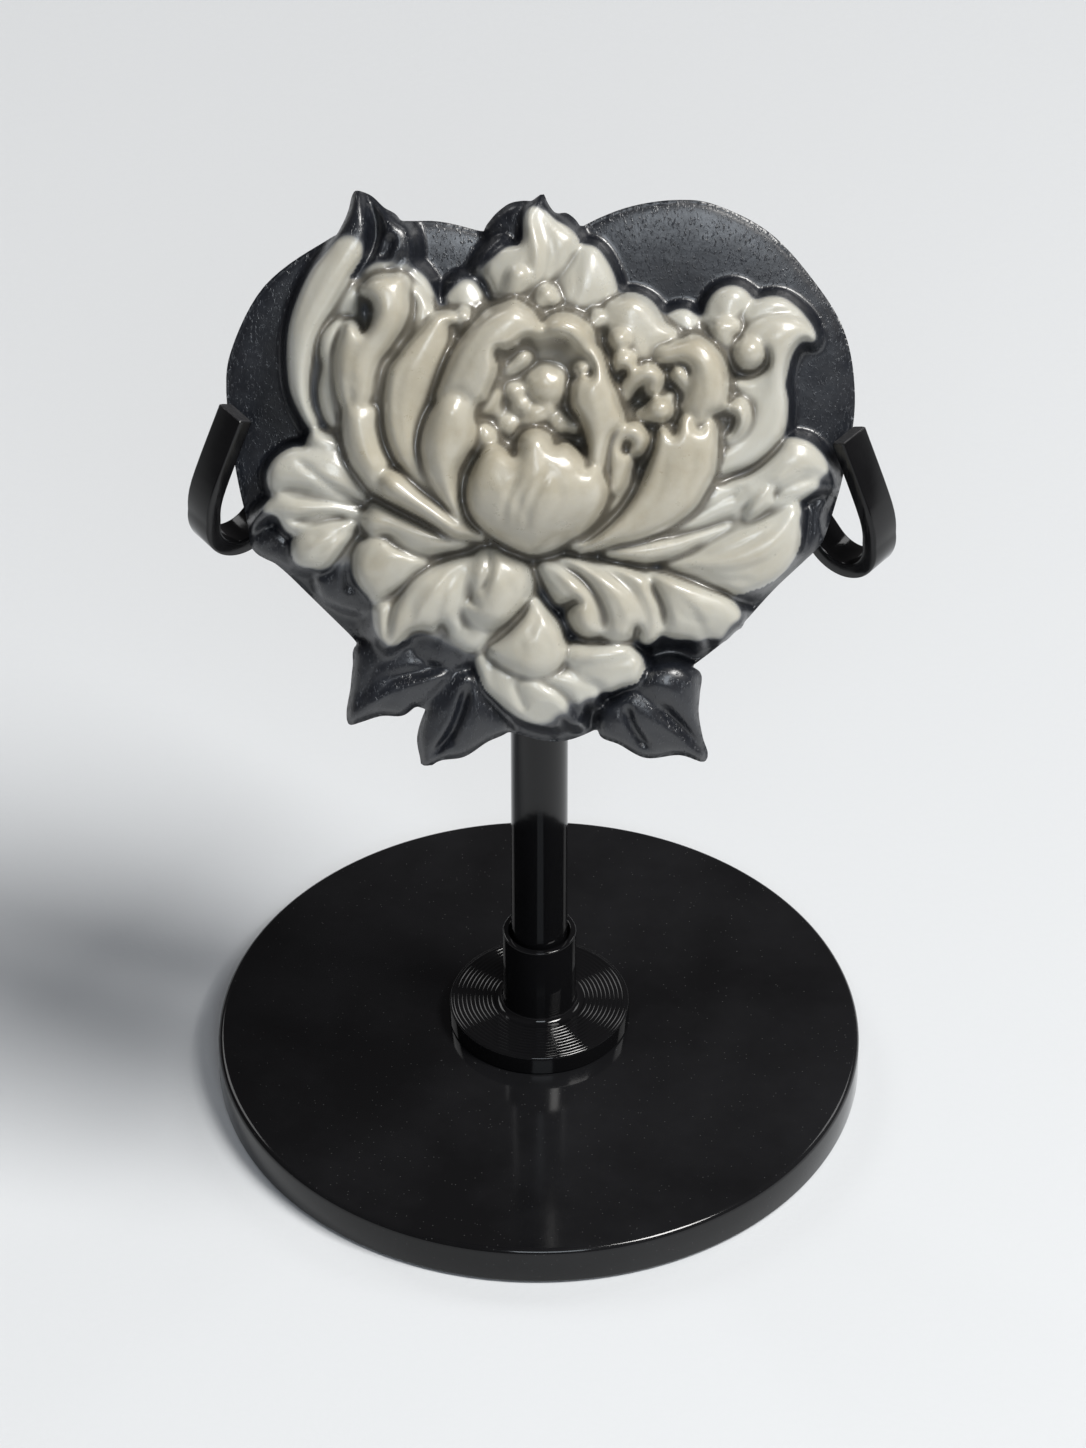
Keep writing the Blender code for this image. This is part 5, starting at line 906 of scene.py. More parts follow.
    def ruffled_petals(self, c: CarvedField) -> None:
        """The ruffled petals in front, below the cup."""
        c.petal([(-20, -0.8), (-21.8, -2), (-22.7, -4), (-22.7, -6), (-22, -7.8), (-20.8, -9.2),
                 (-19.8, -10), (-16, -8), (-12, -4.5), (-10, -2.5), (-15, -1)],
                [(-12, -3.2, 6.4), (-17, -3.8, 7.2), (-21.3, -6, 6.4)], crown=1, edge=(1.8, 2.4))
        c.petal([(-12, -4.6), (-15, -6.5), (-17.5, -9), (-19.9, -10.4), (-20, -12), (-19.7, -14),
                 (-19.2, -15.8), (-18.4, -16.6), (-17.3, -16), (-16, -14.9), (-15, -13.9),
                 (-13.5, -13.6), (-12.2, -13.6), (-11, -12.6), (-10, -12.9), (-9.2, -13),
                 (-8.6, -11), (-6, -6), (-7, -3)],
                [(-8.5, -4, 6.2), (-12, -8, 7.4), (-15, -13, 6.2)], crown=1.1, edge=(1.5, 2), soft=1.4,
                folds=[([(-12, -4.4), (-14.6, -6.2), (-16.5, -8.6), (-17.6, -11), (-18, -13.5),
                         (-18.2, -16)], 1.3, 0.5),
                       ([(-12, -4.4), (-14.6, -6.2), (-16.5, -8.6), (-17.6, -11), (-18.2, -15)], 0.9, -1.6),
                       ([(-10.3, -5.6), (-12.3, -8), (-14, -10.8), (-14.8, -13.6)], 0.7, -1.1),
                       ([(-8.8, -5.4), (-10, -8), (-10.9, -10.5), (-11.4, -12.4)], 0.6, -1.0)])
        c.petal([(-8.8, -10), (-8.2, -11.4), (-7, -12.5), (-5.3, -13.1), (-3.3, -12.7),
                 (-1.4, -11.4), (0, -9.5), (0.5, -7.3), (0.2, -5.2), (-0.6, -3.8), (-2, -2.5),
                 (-4, -1.6), (-6, -1.4), (-7.5, -3), (-8.3, -5.5), (-7.5, -8)],
                [(-4.5, -2.3, 6), (-4.2, -6, 7.8), (-4.2, -11, 7.2)], crown=1.2, edge=(1.7, 2.4), soft=1.2,
                folds=[([(-5.3, -2), (-4.9, -4), (-5, -6), (-5.9, -7.8), (-6.8, -7.8)], 1.0, 0.5),
                       ([(-7.5, -8.5), (-6.9, -9.9), (-6, -9.7)], 0.8, 0.45)])
        c.crease([(-19, -0.8), (-17.5, -2.2), (-15, -3.4), (-12, -3.9), (-9, -3.2), (-6, -1.9)], 1.3, 0.45)
        c.crease([(-17.9, 0), (-15.2, -1.4), (-12, -2.1), (-9.4, -2), (-7, -1.5)], 0.7, 0.32)
        c.petal([(-21.5, 0.4), (-21, 2), (-20, 3.2), (-18.8, 3), (-16, 1.8), (-12, 0.2), (-8, -1),
                 (-5.5, -1.6), (-8, -2.6), (-12, -3), (-15, -2.4), (-18, -1), (-20.3, -1)],
                [(-6.5, -1.6, 7), (-12, -1.3, 8.4), (-19.8, 1, 7.6)], edge=(1.2, 1.6), soft=0.9)

    def tongues(self, c: CarvedField) -> None:
        """The long tongues that wrap the cup on its left."""
        c.petal([(-16.2, 33), (-14.7, 31.8), (-12.9, 29.6), (-12, 27.6), (-12.4, 25.5), (-14, 23),
                 (-16, 21), (-19, 19), (-19.6, 21), (-18, 23.7), (-16.6, 26), (-15.9, 29),
                 (-16.4, 32)], [(-18, 20, 7.4), (-14.5, 26, 7.6), (-14.2, 31, 6.4)], crown=0.6,
                folds=[([(-15.2, 31), (-14.6, 27.8), (-15.5, 26), (-17.5, 23.5)], 0.9, 0.45),
                       ([(-14, 30.3), (-13.5, 28), (-14, 26), (-15.4, 24.2)], 0.5, 0.4)])
        c.petal([(-21.5, 31.5), (-20, 32.8), (-18, 33.1), (-16.3, 32.8), (-15.9, 30.5),
                 (-15.8, 28.5), (-16.6, 26), (-18, 23.6), (-19.3, 21.2), (-19.8, 17), (-20, 13),
                 (-22.5, 12), (-24.2, 15.5), (-24.9, 18.5), (-25.1, 21.5), (-24.7, 24),
                 (-23.6, 26.6), (-22.4, 26.3), (-21.6, 25.2), (-20.6, 26.8), (-20.1, 28.3),
                 (-20.4, 29.6), (-21.3, 30.4)],
                [(-21.5, 13, 8), (-22.5, 19, 8.6), (-21, 24, 9), (-18.3, 28, 9.8), (-19.5, 31.8, 9)])
        c.hollow([(-22.4, 30.3), (-21.2, 30.2), (-20.4, 29.2), (-20.5, 27.2), (-21.4, 25.8),
                  (-22.3, 26.8), (-22.8, 28.4)], 5.5, 2.8)
        c.petal([(-17.3, 22.3), (-18.7, 21.4), (-19.7, 19.3), (-19.9, 16.5), (-19.8, 14), (-19.2, 11),
                 (-17.8, 8), (-15.5, 5.5), (-13, 3.2), (-14.5, 6), (-16.6, 9), (-18, 12),
                 (-18.5, 15), (-18.4, 18), (-17.7, 20.6), (-17, 21.9)],
                [(-14, 4.4, 9.2), (-18.4, 10, 8.4), (-19.3, 16, 8.2), (-17.7, 21.7, 8)], crown=0.3,
                edge=(0.8, 1.0))
        c.petal([(-10.9, 28.1), (-12.2, 28.1), (-14.2, 25.7), (-16, 23.5), (-17.8, 21), (-18.5, 18),
                 (-18.6, 15), (-18.2, 12), (-17, 9), (-15.3, 6.5), (-12.5, 3.6), (-8.5, 0.5),
                 (-8.5, 4), (-11, 7.5), (-13, 11), (-13.2, 14), (-12, 17.3), (-11, 20),
                 (-10.2, 22.8), (-10.3, 25.5)],
                [(-9.5, 1.8, 10), (-14.5, 8.5, 10), (-16, 15, 9.8), (-14, 21.5, 9.8),
                 (-11.2, 27.3, 8.8)], crown=0.6, tilt=0.5)
        c.petal([(-22.8, 19), (-23.6, 17.3), (-24, 15), (-24.1, 13), (-23.8, 10.8), (-23, 8.5),
                 (-21.8, 6.6), (-20, 4.6), (-17, 2.8), (-13, 0.8), (-9, -0.6), (-10, 1.6),
                 (-13, 3.6), (-15.5, 5.6), (-17.4, 7.8), (-18.9, 10.5), (-19.7, 13.5),
                 (-19.7, 15.4), (-20.4, 16.2), (-21.3, 16), (-22, 15.6), (-22.5, 16.5)],
                [(-11, 0.8, 9), (-16.5, 4.5, 9), (-20.5, 8.5, 8.8), (-21.8, 14, 8.4), (-22.7, 18.2, 8)],
                crown=0.9)
        c.petal([(-19.1, 6.4), (-18.4, 7.3), (-17.4, 7.5), (-16, 6.9), (-13.5, 4.6), (-10.5, 2.3),
                 (-8, 0.7), (-6, -0.6), (-5.5, -1.3), (-7.5, -1.2), (-10, -0.8), (-13.5, 1.4),
                 (-16.5, 3), (-18.5, 4.1), (-19.2, 5.2)],
                [(-6.3, -0.9, 9.8), (-11, 1.2, 10.4), (-17.6, 5.7, 10)], crown=1.2, edge=(1.1, 1.6))

    def stamen_bed(self, c: CarvedField) -> None:
        """The bed of curled stamens on the right of the cup."""
        c.petal([(9.2, 28.8), (10.4, 30.3), (12.5, 31.1), (14.6, 30.4), (16, 28.9), (17, 27.6),
                 (18.4, 26.7), (19, 25.4), (18, 22), (17, 17), (13, 15), (10.5, 18), (9.6, 23)],
                [(13, 17, 7.5), (12.8, 23, 8.3), (12.8, 29, 8)], crown=0.7)
        c.petal([(16.1, 22.4), (16.4, 24.2), (17.7, 24.7), (19, 25.4), (21, 25.9), (23, 24.9),
                 (24.5, 22.9), (25.1, 20), (25.1, 17.5), (24.5, 16.3), (23, 15.2), (22.3, 13.5),
                 (20.8, 13.7), (19.5, 15), (18.8, 16.5), (19.6, 18), (20.2, 20), (20.1, 21.8),
                 (18.6, 22.3), (17.5, 21)],
                [(21.3, 14.5, 9.2), (22.6, 18, 10.3), (22, 22.5, 10.6), (18.5, 23.8, 9.8)],
                edge=(1.5, 2.1))
        c.hollow([(10.3, 22), (10.8, 23.6), (13, 23), (15.6, 22.4), (18.4, 22.3), (20, 21.6),
                  (20.2, 19.5), (19.3, 17), (18.5, 14.5), (16, 13), (13, 13.8), (11.2, 16)], 9.0, 5.6)
        c.stalk([(11.7, 22.6, 9.4), (11.5, 24, 10.4), (11.4, 25.2, 10.8)], 0.8)
        c.bead(11.4, 25.3, 1.25, 11.3)
        c.bead(12, 22.4, 1.55, 11.7)
        c.stalk([(12.6, 21.6, 11.2), (13.2, 20.6, 10.6)], 0.85)
        c.hollow([(11.3, 21.2), (12, 21.6), (12.5, 20.9), (12, 20.2), (11.4, 20.3)], 10.0, 7.5, 0.6)
        c.stalk([(11.5, 16.6, 8.6), (12.1, 18.6, 9.8), (13.4, 20.2, 11), (14.9, 21, 11.5),
                 (15.9, 20.4, 11.3), (15.7, 19.1, 10.3)], 1.05)
        c.stalk([(20.4, 18, 9.2), (20, 19.6, 10.2), (19, 21, 11)], 0.95)
        c.bead(17.8, 17.9, 1.1, 9)
        c.stalk([(13.4, 14.8, 8.6), (14.8, 15.4, 10), (16.4, 16.2, 11)], 1.1)
        c.bead(16.7, 16.2, 1.65, 11.6)
        c.petal([(12.8, 9.5), (13.3, 7), (12.6, 5), (10.5, 2), (8, -0.5), (6, -2.2), (5.5, -1.8),
                 (8, 0.8), (9.5, 3), (9.9, 5.5), (9.8, 9), (11, 10.5)],
                [(7, -1.5, 9), (11, 4, 9.2), (12, 8.5, 9)], crown=0.2)
        c.petal([(16.4, 13.4), (17.2, 13.9), (17.9, 13.6), (18.3, 12.7), (18.9, 13.4), (19.1, 14.8),
                 (19.8, 15.6), (20.7, 15.3), (21.3, 14.2), (22, 13.8), (22.6, 14.6), (23.4, 15.4),
                 (23.9, 13.5), (23.9, 11), (23.6, 8.5), (23, 6.8), (21.5, 4), (19.5, 2), (17, 0.4),
                 (14, -0.9), (11, -1.6), (8, -2.4), (6.5, -2.4), (8.5, -1), (11.5, 1.8),
                 (13.5, 4.5), (15, 7.5), (15.9, 10.5)],
                [(8, -2, 9.5), (14, 1.5, 10), (18.5, 6, 10.6), (20.3, 12, 11), (20.5, 14.5, 10.4)],
                crown=0.4, tilt=0.6)
        c.hollow([(13.2, 10.3), (14.6, 10.8), (15.6, 13.4), (16.3, 13), (15.7, 10.5), (14.8, 7.8),
                  (13.4, 5.2), (13.2, 7)], 8.0, 4.5)
        c.petal([(9.7, 9), (9.8, 11), (10.1, 12.6), (11, 13.8), (12.5, 14.3), (13.8, 13.9),
                 (14.7, 14), (14.9, 12.6), (14.6, 11.3), (13.8, 10.6), (12.9, 10.5), (13.2, 9.3),
                 (12.5, 7), (11.5, 5.3), (10, 5)],
                [(10.8, 6, 10), (11.3, 10.5, 10.6), (13.8, 12.6, 10.6)], crown=0.6)
        c.hollow([(11.7, 12.4), (12.9, 12.3), (13.7, 11.4), (13.4, 10.3), (12.2, 10), (11.5, 11)],
                 10.6, 8.6, 1.2)
        c.stalk([(10.6, 8, 10.6), (10.8, 11, 11.4), (11.7, 13, 12), (13.2, 13.4, 12.1),
                 (14.2, 12.4, 11.8), (13.8, 11.2, 11)], 0.95)

    def cup(self, c: CarvedField) -> None:
        """The cup, its seeds and the petals that close it."""
        c.petal([(1, 26), (1.8, 27.4), (3.4, 28.2), (5.1, 28.1), (6.8, 27.2), (7.8, 25.8), (8, 24),
                 (7, 20), (0, 20)], [(2, 22, 12.6), (4.3, 26.8, 13.2)], crown=0.6, edge=(1.6, 2.2))
        c.petal([(-12.2, 16.8), (-11.3, 19.5), (-10, 22.5), (-8.5, 24.9), (-6.8, 26.9), (-5, 28.4),
                 (-3.5, 29.2), (-2.2, 29.7), (-1, 29.3), (0.4, 28.3), (1.4, 27), (1.5, 25.8),
                 (3, 22), (4, 14), (0, 8), (-9, 12), (-12, 14)],
                [(-9.8, 15, 12), (-8, 20, 13.4), (-5.5, 24, 14.2), (-2, 27, 14), (0.5, 26.9, 13)],
                edge=(1.6, 2.4))
        c.hollow([(-4.6, 22.4), (-4.3, 23.8), (-3.2, 23.8), (-2, 24.5), (-0.7, 25.5), (0.6, 25.6),
                  (3, 25.9), (5, 25.3), (6.3, 24), (7.6, 22.8), (8, 20), (7.5, 16), (7.6, 11),
                  (4, 9), (-2, 8), (-6.6, 9.5), (-7, 13), (-6.9, 16.2), (-5.8, 17.4), (-4.9, 19.4),
                  (-4.3, 21.2)], 12.6, 9.5, 3.0)
        c.petal([(-4.4, 21), (-2.8, 21.9), (-1, 23.4), (0, 23.1), (-0.4, 21.9), (-2, 20.6),
                 (-3.6, 20.1)], [(-3.6, 20.8, 9.8), (-0.7, 22.6, 11)], crown=0.5, edge=(0.7, 0.9))
        c.petal([(-6.6, 15.4), (-5.4, 17.3), (-4.2, 19), (-3.7, 17.8), (-4.3, 16), (-5.7, 15)],
                [(-5.8, 15.6, 10.6), (-4.3, 18, 10.8)], crown=0.5, edge=(0.7, 0.9))
        for u, v, radius, top in ((-4.4, 15.6, 1.1, 10.2), (-1.9, 18.2, 1.3, 11), (2.1, 19.1, 3, 11.7),
                                  (-1, 16.5, 1.3, 10.9), (0.9, 15.3, 1.6, 11), (0.2, 14.2, 1.5, 10.8),
                                  (3.8, 14.2, 1.7, 10.7), (5.7, 13.8, 1.2, 10.3), (-2.6, 13.8, 1.8, 10.5),
                                  (-4.6, 13, 1.1, 10.2), (2.4, 16.1, 0.8, 10.8)):
            c.bead(u, v, radius, top)
        c.petal([(6.4, 24), (7.4, 24.5), (8.5, 24.1), (9.3, 22.5), (9.9, 20.5), (10.8, 18.4),
                 (11.4, 16.5), (12, 14.5), (10.5, 12.8), (9.8, 10), (9.6, 7.5), (8, 6), (7.3, 9),
                 (7.6, 11), (7.3, 13), (6.5, 15), (5.6, 16.3), (5.4, 17.6), (5.6, 19.4),
                 (6.6, 20.4), (7.8, 20.2), (8.1, 21.5), (7.6, 23)],
                [(8.6, 8, 12.3), (8.8, 13, 12.9), (8, 18, 13.1), (8.6, 22, 12.7), (7.3, 24, 12)],
                crown=0.6)
        c.bead(6.7, 21.3, 1.0, 12.2)
        c.petal([(-7.2, 13.2), (-6.2, 14.1), (-5, 13.6), (-4, 12.2), (-3.3, 10.8), (-5, 9.5),
                 (-7.3, 10)], [(-5, 10.3, 11.2), (-6, 13, 11.2)], crown=0.5)
        c.petal([(-13.7, 12), (-13, 14.4), (-12, 16.1), (-10.5, 17.5), (-9, 17.8), (-7.9, 16.8),
                 (-7.3, 15), (-6.8, 13), (-7.1, 11), (-8, 9.2), (-8.8, 7.5), (-8.9, 5), (-8.3, 2.2),
                 (-6.5, -0.8), (-8.5, 0.4), (-11.2, 3.9), (-13.1, 7.2), (-13.8, 10)],
                [(-7, -0.3, 10), (-9.8, 4.5, 11), (-11, 9, 12.6), (-9.8, 15, 13.4)], crown=1.0,
                edge=(1.7, 2.4))
        c.petal([(-7.8, 4), (-7.6, 6.2), (-7, 8.2), (-6.2, 9.8), (-4.9, 10.9), (-3.3, 10.9),
                 (-1.9, 9.9), (-1.5, 10.8), (-1.2, 12.1), (-0.2, 13.1), (1.5, 13.3), (2.9, 12.4),
                 (3.4, 11.4), (4.6, 11.6), (6, 10.8), (7.2, 9.6), (7.6, 8.5), (8.6, 8.3), (9.5, 7.2),
                 (9.9, 5.2), (9.4, 3), (8, 0.8), (6, -0.9), (3.5, -2.4), (1, -3.1), (-1.5, -2.8),
                 (-4, -1.5), (-6.3, 0.4), (-7.5, 2.3)],
                [(1, -2, 9.4), (1, 1.5, 12.8), (1, 6, 14.4), (0.8, 11.5, 13.6)], crown=1.2,
                edge=(2.0, 3.0), folds=[([(-3, 0), (-2.6, 4), (-0.6, 8)], 0.5, 0.35),
                                        ([(-1.5, 0), (-1.2, 3.5), (0.6, 7)], 0.4, 0.35),
                                        ([(-0.2, 0.2), (0.6, 3.8), (3, 8.4)], 0.5, 0.4)])
        c.petal([(6.2, 6), (6.7, 7.5), (7.8, 8.5), (9, 8.1), (9.8, 6.5), (9.9, 4.8), (9, 3.5),
                 (7.5, 4.3)], [(8.6, 4.5, 12.2), (7.9, 7.4, 13.2)], crown=0.6, soft=0.6)

    def buds(self, c: CarvedField) -> None:
        """The small buds that stand between the cup and the top petals."""
        c.stalk([(-9.2, 24.6, 6.5), (-9, 26.4, 7.8), (-8.7, 27.8, 8.4)], 1.15)
        c.stalk([(-3, 29.2, 7), (-2.3, 31.4, 8.2), (-1.7, 33.2, 8.6)], 1.5)
        c.stalk([(0.2, 27.8, 7.5), (0.9, 29.3, 8.4), (1.9, 31, 8.8)], 1.15)
        c.bead(2.5, 30.3, 0.95, 8.6)
        c.stalk([(7.2, 25.8, 8), (7.9, 27, 8.8), (8.6, 28, 8.8)], 1.15)
        c.bead(-10.6, 27.6, 0.7, 9.2)

    def last_creases(self, c: CarvedField) -> None:
        """Thin grooves over the fan on the left, the wide petals, the middle seed and the leaves."""
        for path, deep, wide in (
                ([(-20.5, 2.2), (-23, 3.9), (-25.8, 5.4), (-28.4, 7.4), (-30.6, 9.2)], 0.7, 0.4),
                ([(-20.8, 1.9), (-24, 2.9), (-27.6, 3.4), (-32.4, 3.9)], 0.8, 0.4),
                ([(-20.8, 1.2), (-24.5, 0.8), (-28.4, 0.4), (-32.6, 1.3)], 0.6, 0.35),
                ([(-20.8, 0.4), (-23.4, -0.6), (-25.4, -1.8), (-28.2, -4.4)], 0.7, 0.4),
                ([(20, -3.4), (25.5, -2.2), (30.5, 0.2), (33.5, 2.8)], 0.5, 0.35),
                ([(20, 1.6), (25, 4.6), (30, 7.4), (34, 9.8)], 0.5, 0.35),
                ([(21.5, 0.6), (26, 2.6), (31, 5.4), (35.5, 8.2)], 0.4, 0.3),
                ([(1.0, 19.6), (0.6, 21), (1.6, 22.2), (3, 21.6), (3, 20.2), (2, 19.8)], 0.4, 0.28),
                ([(17.2, -22.6), (19.4, -25.1), (21.7, -27.6), (24.4, -30.4)], 1.1, 0.5),
                ([(-7.6, -20.5), (-8.8, -25), (-10.3, -28), (-12.6, -31)], 0.7, 0.32),
                ([(-10.5, -18.6), (-14, -19.4), (-17.5, -20.6), (-21.6, -24.4)], 0.7, 0.35)):
            c.crease(path, deep, wide)

    def carve(self) -> CarvedField:
        """Carve the whole flower, from the plate up to the cup."""
        c = CarvedField(self.step)
        self.plate_and_leaves(c)
        self.top_petals(c)
        self.left_petals(c)
        self.lower_petals(c)
        self.right_petals(c)
        self.ruffled_petals(c)
        self.tongues(c)
        self.stamen_bed(c)
        self.cup(c)
        self.buds(c)
        self.last_creases(c)
        c.polish()
        return c

    def layer(self, c: CarvedField) -> np.ndarray:
        """How much of the pale upper layer is left at each point, from none to all.

        Args:
            c: The carved field.

        Returns:
            The shares, one to a point.
        """
        bound = self.layer_height + c.tone
        for u, v, reach, shift in LAYER_WAVES:
            gap = np.hypot(*(c.points - (u, v)).T)
            bound += shift * np.exp(-(gap / reach) ** 2)
        share = np.clip(0.5 + (c.height - bound) / self.layer_soft, 0.0, 1.0)
        return share * share * (3.0 - 2.0 * share)

    def painted_shade_depth(self, c: CarvedField) -> np.ndarray:
        """How deep each point lies below what is round it, from none to one; the stone's colour darkens by it
        as painted shade in the creases.
        """
        shape = (len(c.u), len(c.v))
        height = np.maximum(c.height, -1.0).reshape(shape)
        wide = box_blur(height, round(1.2 / c.step)) - height
        tight = box_blur(height, round(0.5 / c.step)) - height
        return np.clip(wide / 1.6 + tight / 0.5, 0.0, 1.0).ravel()

    def in_place(self, u: np.ndarray, v: np.ndarray, h: np.ndarray) -> np.ndarray:
        """World places of drawn points, after the chisel's slope."""
        up = (v + self.chisel_slope * h) * self.unit
        out = h * self.unit
        sin, cos = math.sin(self.lean), math.cos(self.lean)
        return np.column_stack([u * self.unit, -self.forward + up * sin - out * cos,
                                self.centre_height + up * cos + out * sin])

    @staticmethod
    def whole_cells(inside: np.ndarray) -> np.ndarray:
        """Cells with all four corners inside, with cells added where two meet only at a corner."""
        cells = inside[:-1, :-1] & inside[1:, :-1] & inside[1:, 1:] & inside[:-1, 1:]
        while True:
            a, b, c, d = cells[:-1, :-1], cells[1:, :-1], cells[1:, 1:], cells[:-1, 1:]
            falling = a & c & ~b & ~d
            rising = b & d & ~a & ~c
            if not (falling.any() or rising.any()):
                return cells
            cells[1:, :-1] |= falling
            cells[:-1, :-1] |= rising

    @staticmethod
    def even_out(values: np.ndarray, members: np.ndarray, rounds: int) -> np.ndarray:
        """Average a grid's values among the members next to each other, and leave the rest."""
        weight = members.astype(float)
        for _ in range(rounds):
            total = np.zeros_like(values)
            count = np.zeros_like(values)
            for du in (-1, 0, 1):
                for dv in (-1, 0, 1):
                    total += np.roll(values * weight, (du, dv), (0, 1))
                    count += np.roll(weight, (du, dv), (0, 1))
            values = np.where(members, total / np.maximum(count, 1.0), values)
        return values

    def mesh(self) -> bpy.types.Mesh:
        """Close the carved field into one solid: front, back, and a rim where they meet.

        Returns:
            The mesh, with its layer, painted_shade_depth and level attributes.
        """
        c = self.carve()
        shape = (len(c.u), len(c.v))
        depth = c.depth.reshape(shape)
        slope_u, slope_v = np.gradient(depth, self.step)
        steep = np.maximum(np.hypot(slope_u, slope_v), 0.5)
        cells = self.whole_cells(depth > -0.4 * self.step)
        around = np.zeros((shape[0] + 1, shape[1] + 1), dtype=int)
        around[1:-1, 1:-1] = cells
        touching = around[:-1, :-1] + around[1:, :-1] + around[1:, 1:] + around[:-1, 1:]
        used = touching > 0
        border = used & (touching < 4)
        u, v = np.meshgrid(c.u, c.v, indexing="ij")
        shift = np.where(border, depth / steep, 0.0)
        u = self.even_out(u - shift * slope_u / steep, border, 1)
        v = self.even_out(v - shift * slope_v / steep, border, 1)
        front = c.height.reshape(shape).copy()
        back_level = -self.plate / self.unit
        shore = front + CarvedField.WALL_SLOPE * np.maximum(-depth, 0.0)
        rim = self.even_out(np.clip(shore, back_level * 0.5, self.rim_top), border, 4)
        rise = np.clip(1.0 - np.maximum(depth, 0.0) / self.rim_round, 0.0, 1.0) ** 2
        back = back_level + (np.minimum(rim, shore) - back_level) * rise
        front = np.maximum(front, back + 2.0 * self.rim_flat)
        front[border] = rim[border] + self.rim_flat
        back[border] = rim[border] - self.rim_flat
        order = -np.ones(shape, dtype=int)
        order[used] = np.arange(used.sum())
        behind = int(used.sum())
        verts = np.vstack([self.in_place(u[used], v[used], front[used]),
                           self.in_place(u[used], v[used], back[used])])
        lowest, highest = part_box("relief_carving")
        verts = np.clip(verts, lowest, highest)
        faces = []
        flat = {}
        deep = depth > self.rim_round + 2.0 * self.step
        for i, j in zip(*np.nonzero(cells)):
            ring = [(i, j), (i + 1, j), (i + 1, j + 1), (i, j + 1)]
            beside = [(i, j - 1), (i + 1, j), (i, j + 1), (i - 1, j)]
            corners = [int(order[k]) for k in ring]
            faces.append(corners)
            if all(deep[k] for k in ring):
                flat.setdefault((i // self.tile, j // self.tile), []).append(len(faces))
            faces.append([k + behind for k in reversed(corners)])
            for k, cell in enumerate(beside):
                if around[cell[0] + 1, cell[1] + 1]:
                    continue
                a, b = corners[k], corners[(k + 1) % 4]
                faces.append([b, a, a + behind, b + behind])
        mesh = bpy.data.meshes.new("peony_relief")
        mesh.from_pydata(verts.tolist(), [], faces)
        pale = np.concatenate([self.layer(c).reshape(shape)[used], np.zeros(behind)])
        painted_shade_depth = np.concatenate([self.painted_shade_depth(c).reshape(shape)[used], np.zeros(behind)])
        level = np.concatenate([c.height[used.ravel()], np.zeros(behind)])
        for name, values in (("layer", pale), ("painted_shade_depth", painted_shade_depth), ("level", level)):
            mesh.attributes.new(name, "FLOAT", "POINT").data.foreach_set("value", values)
        work = bmesh.new()
        work.from_mesh(mesh)
        work.faces.ensure_lookup_table()
        tiles = [[work.faces[k] for k in tile] for tile in flat.values()]
        for tile in tiles:
            bmesh.ops.dissolve_faces(work, faces=tile, use_verts=True)
        work.to_mesh(mesh)
        work.free()
        mesh.shade_smooth()
        return mesh

    def build(self) -> None:
        """Build the relief and dress it."""
        new_piece("peony_relief", self.mesh(), self.finish.make(), Slot.STONE, "relief_carving")


@dataclass
class TurnedPart:
    """A part turned about an upright axis behind the middle of the base."""

    name: str
    profile: Sequence[tuple[float, float]]
    bottom: float
    setback: float = 3.0 * MM
    closed: bool = False
    steps: int = 160

    def mesh(self) -> bpy.types.Mesh:
        """Turn the profile; a closed one makes a ring, an open one starts and ends on the axis."""
        rings = list(self.profile)
        verts = []
        starts = []
        for radius, height in rings:
            starts.append(len(verts))
            count = self.steps if radius > 0.0 else 1
            for k in range(count):
                angle = math.tau * k / self.steps
                verts.append((radius * math.cos(angle), self.setback + radius * math.sin(angle),
                              self.bottom + height))
        faces = []
        pairs = list(zip(range(len(rings)), range(1, len(rings))))
        if self.closed:
            pairs.append((len(rings) - 1, 0))
        for a, b in pairs:
            for k in range(self.steps):
                n = (k + 1) % self.steps
                if rings[a][0] == 0.0:
                    faces.append([starts[a], starts[b] + n, starts[b] + k])
                elif rings[b][0] == 0.0:
                    faces.append([starts[a] + k, starts[a] + n, starts[b]])
                else:
                    faces.append([starts[a] + k, starts[a] + n, starts[b] + n, starts[b] + k])
        mesh = mesh_from(self.name, verts, faces)
        mesh.set_sharp_from_angle(angle=math.radians(40.0))
        return mesh


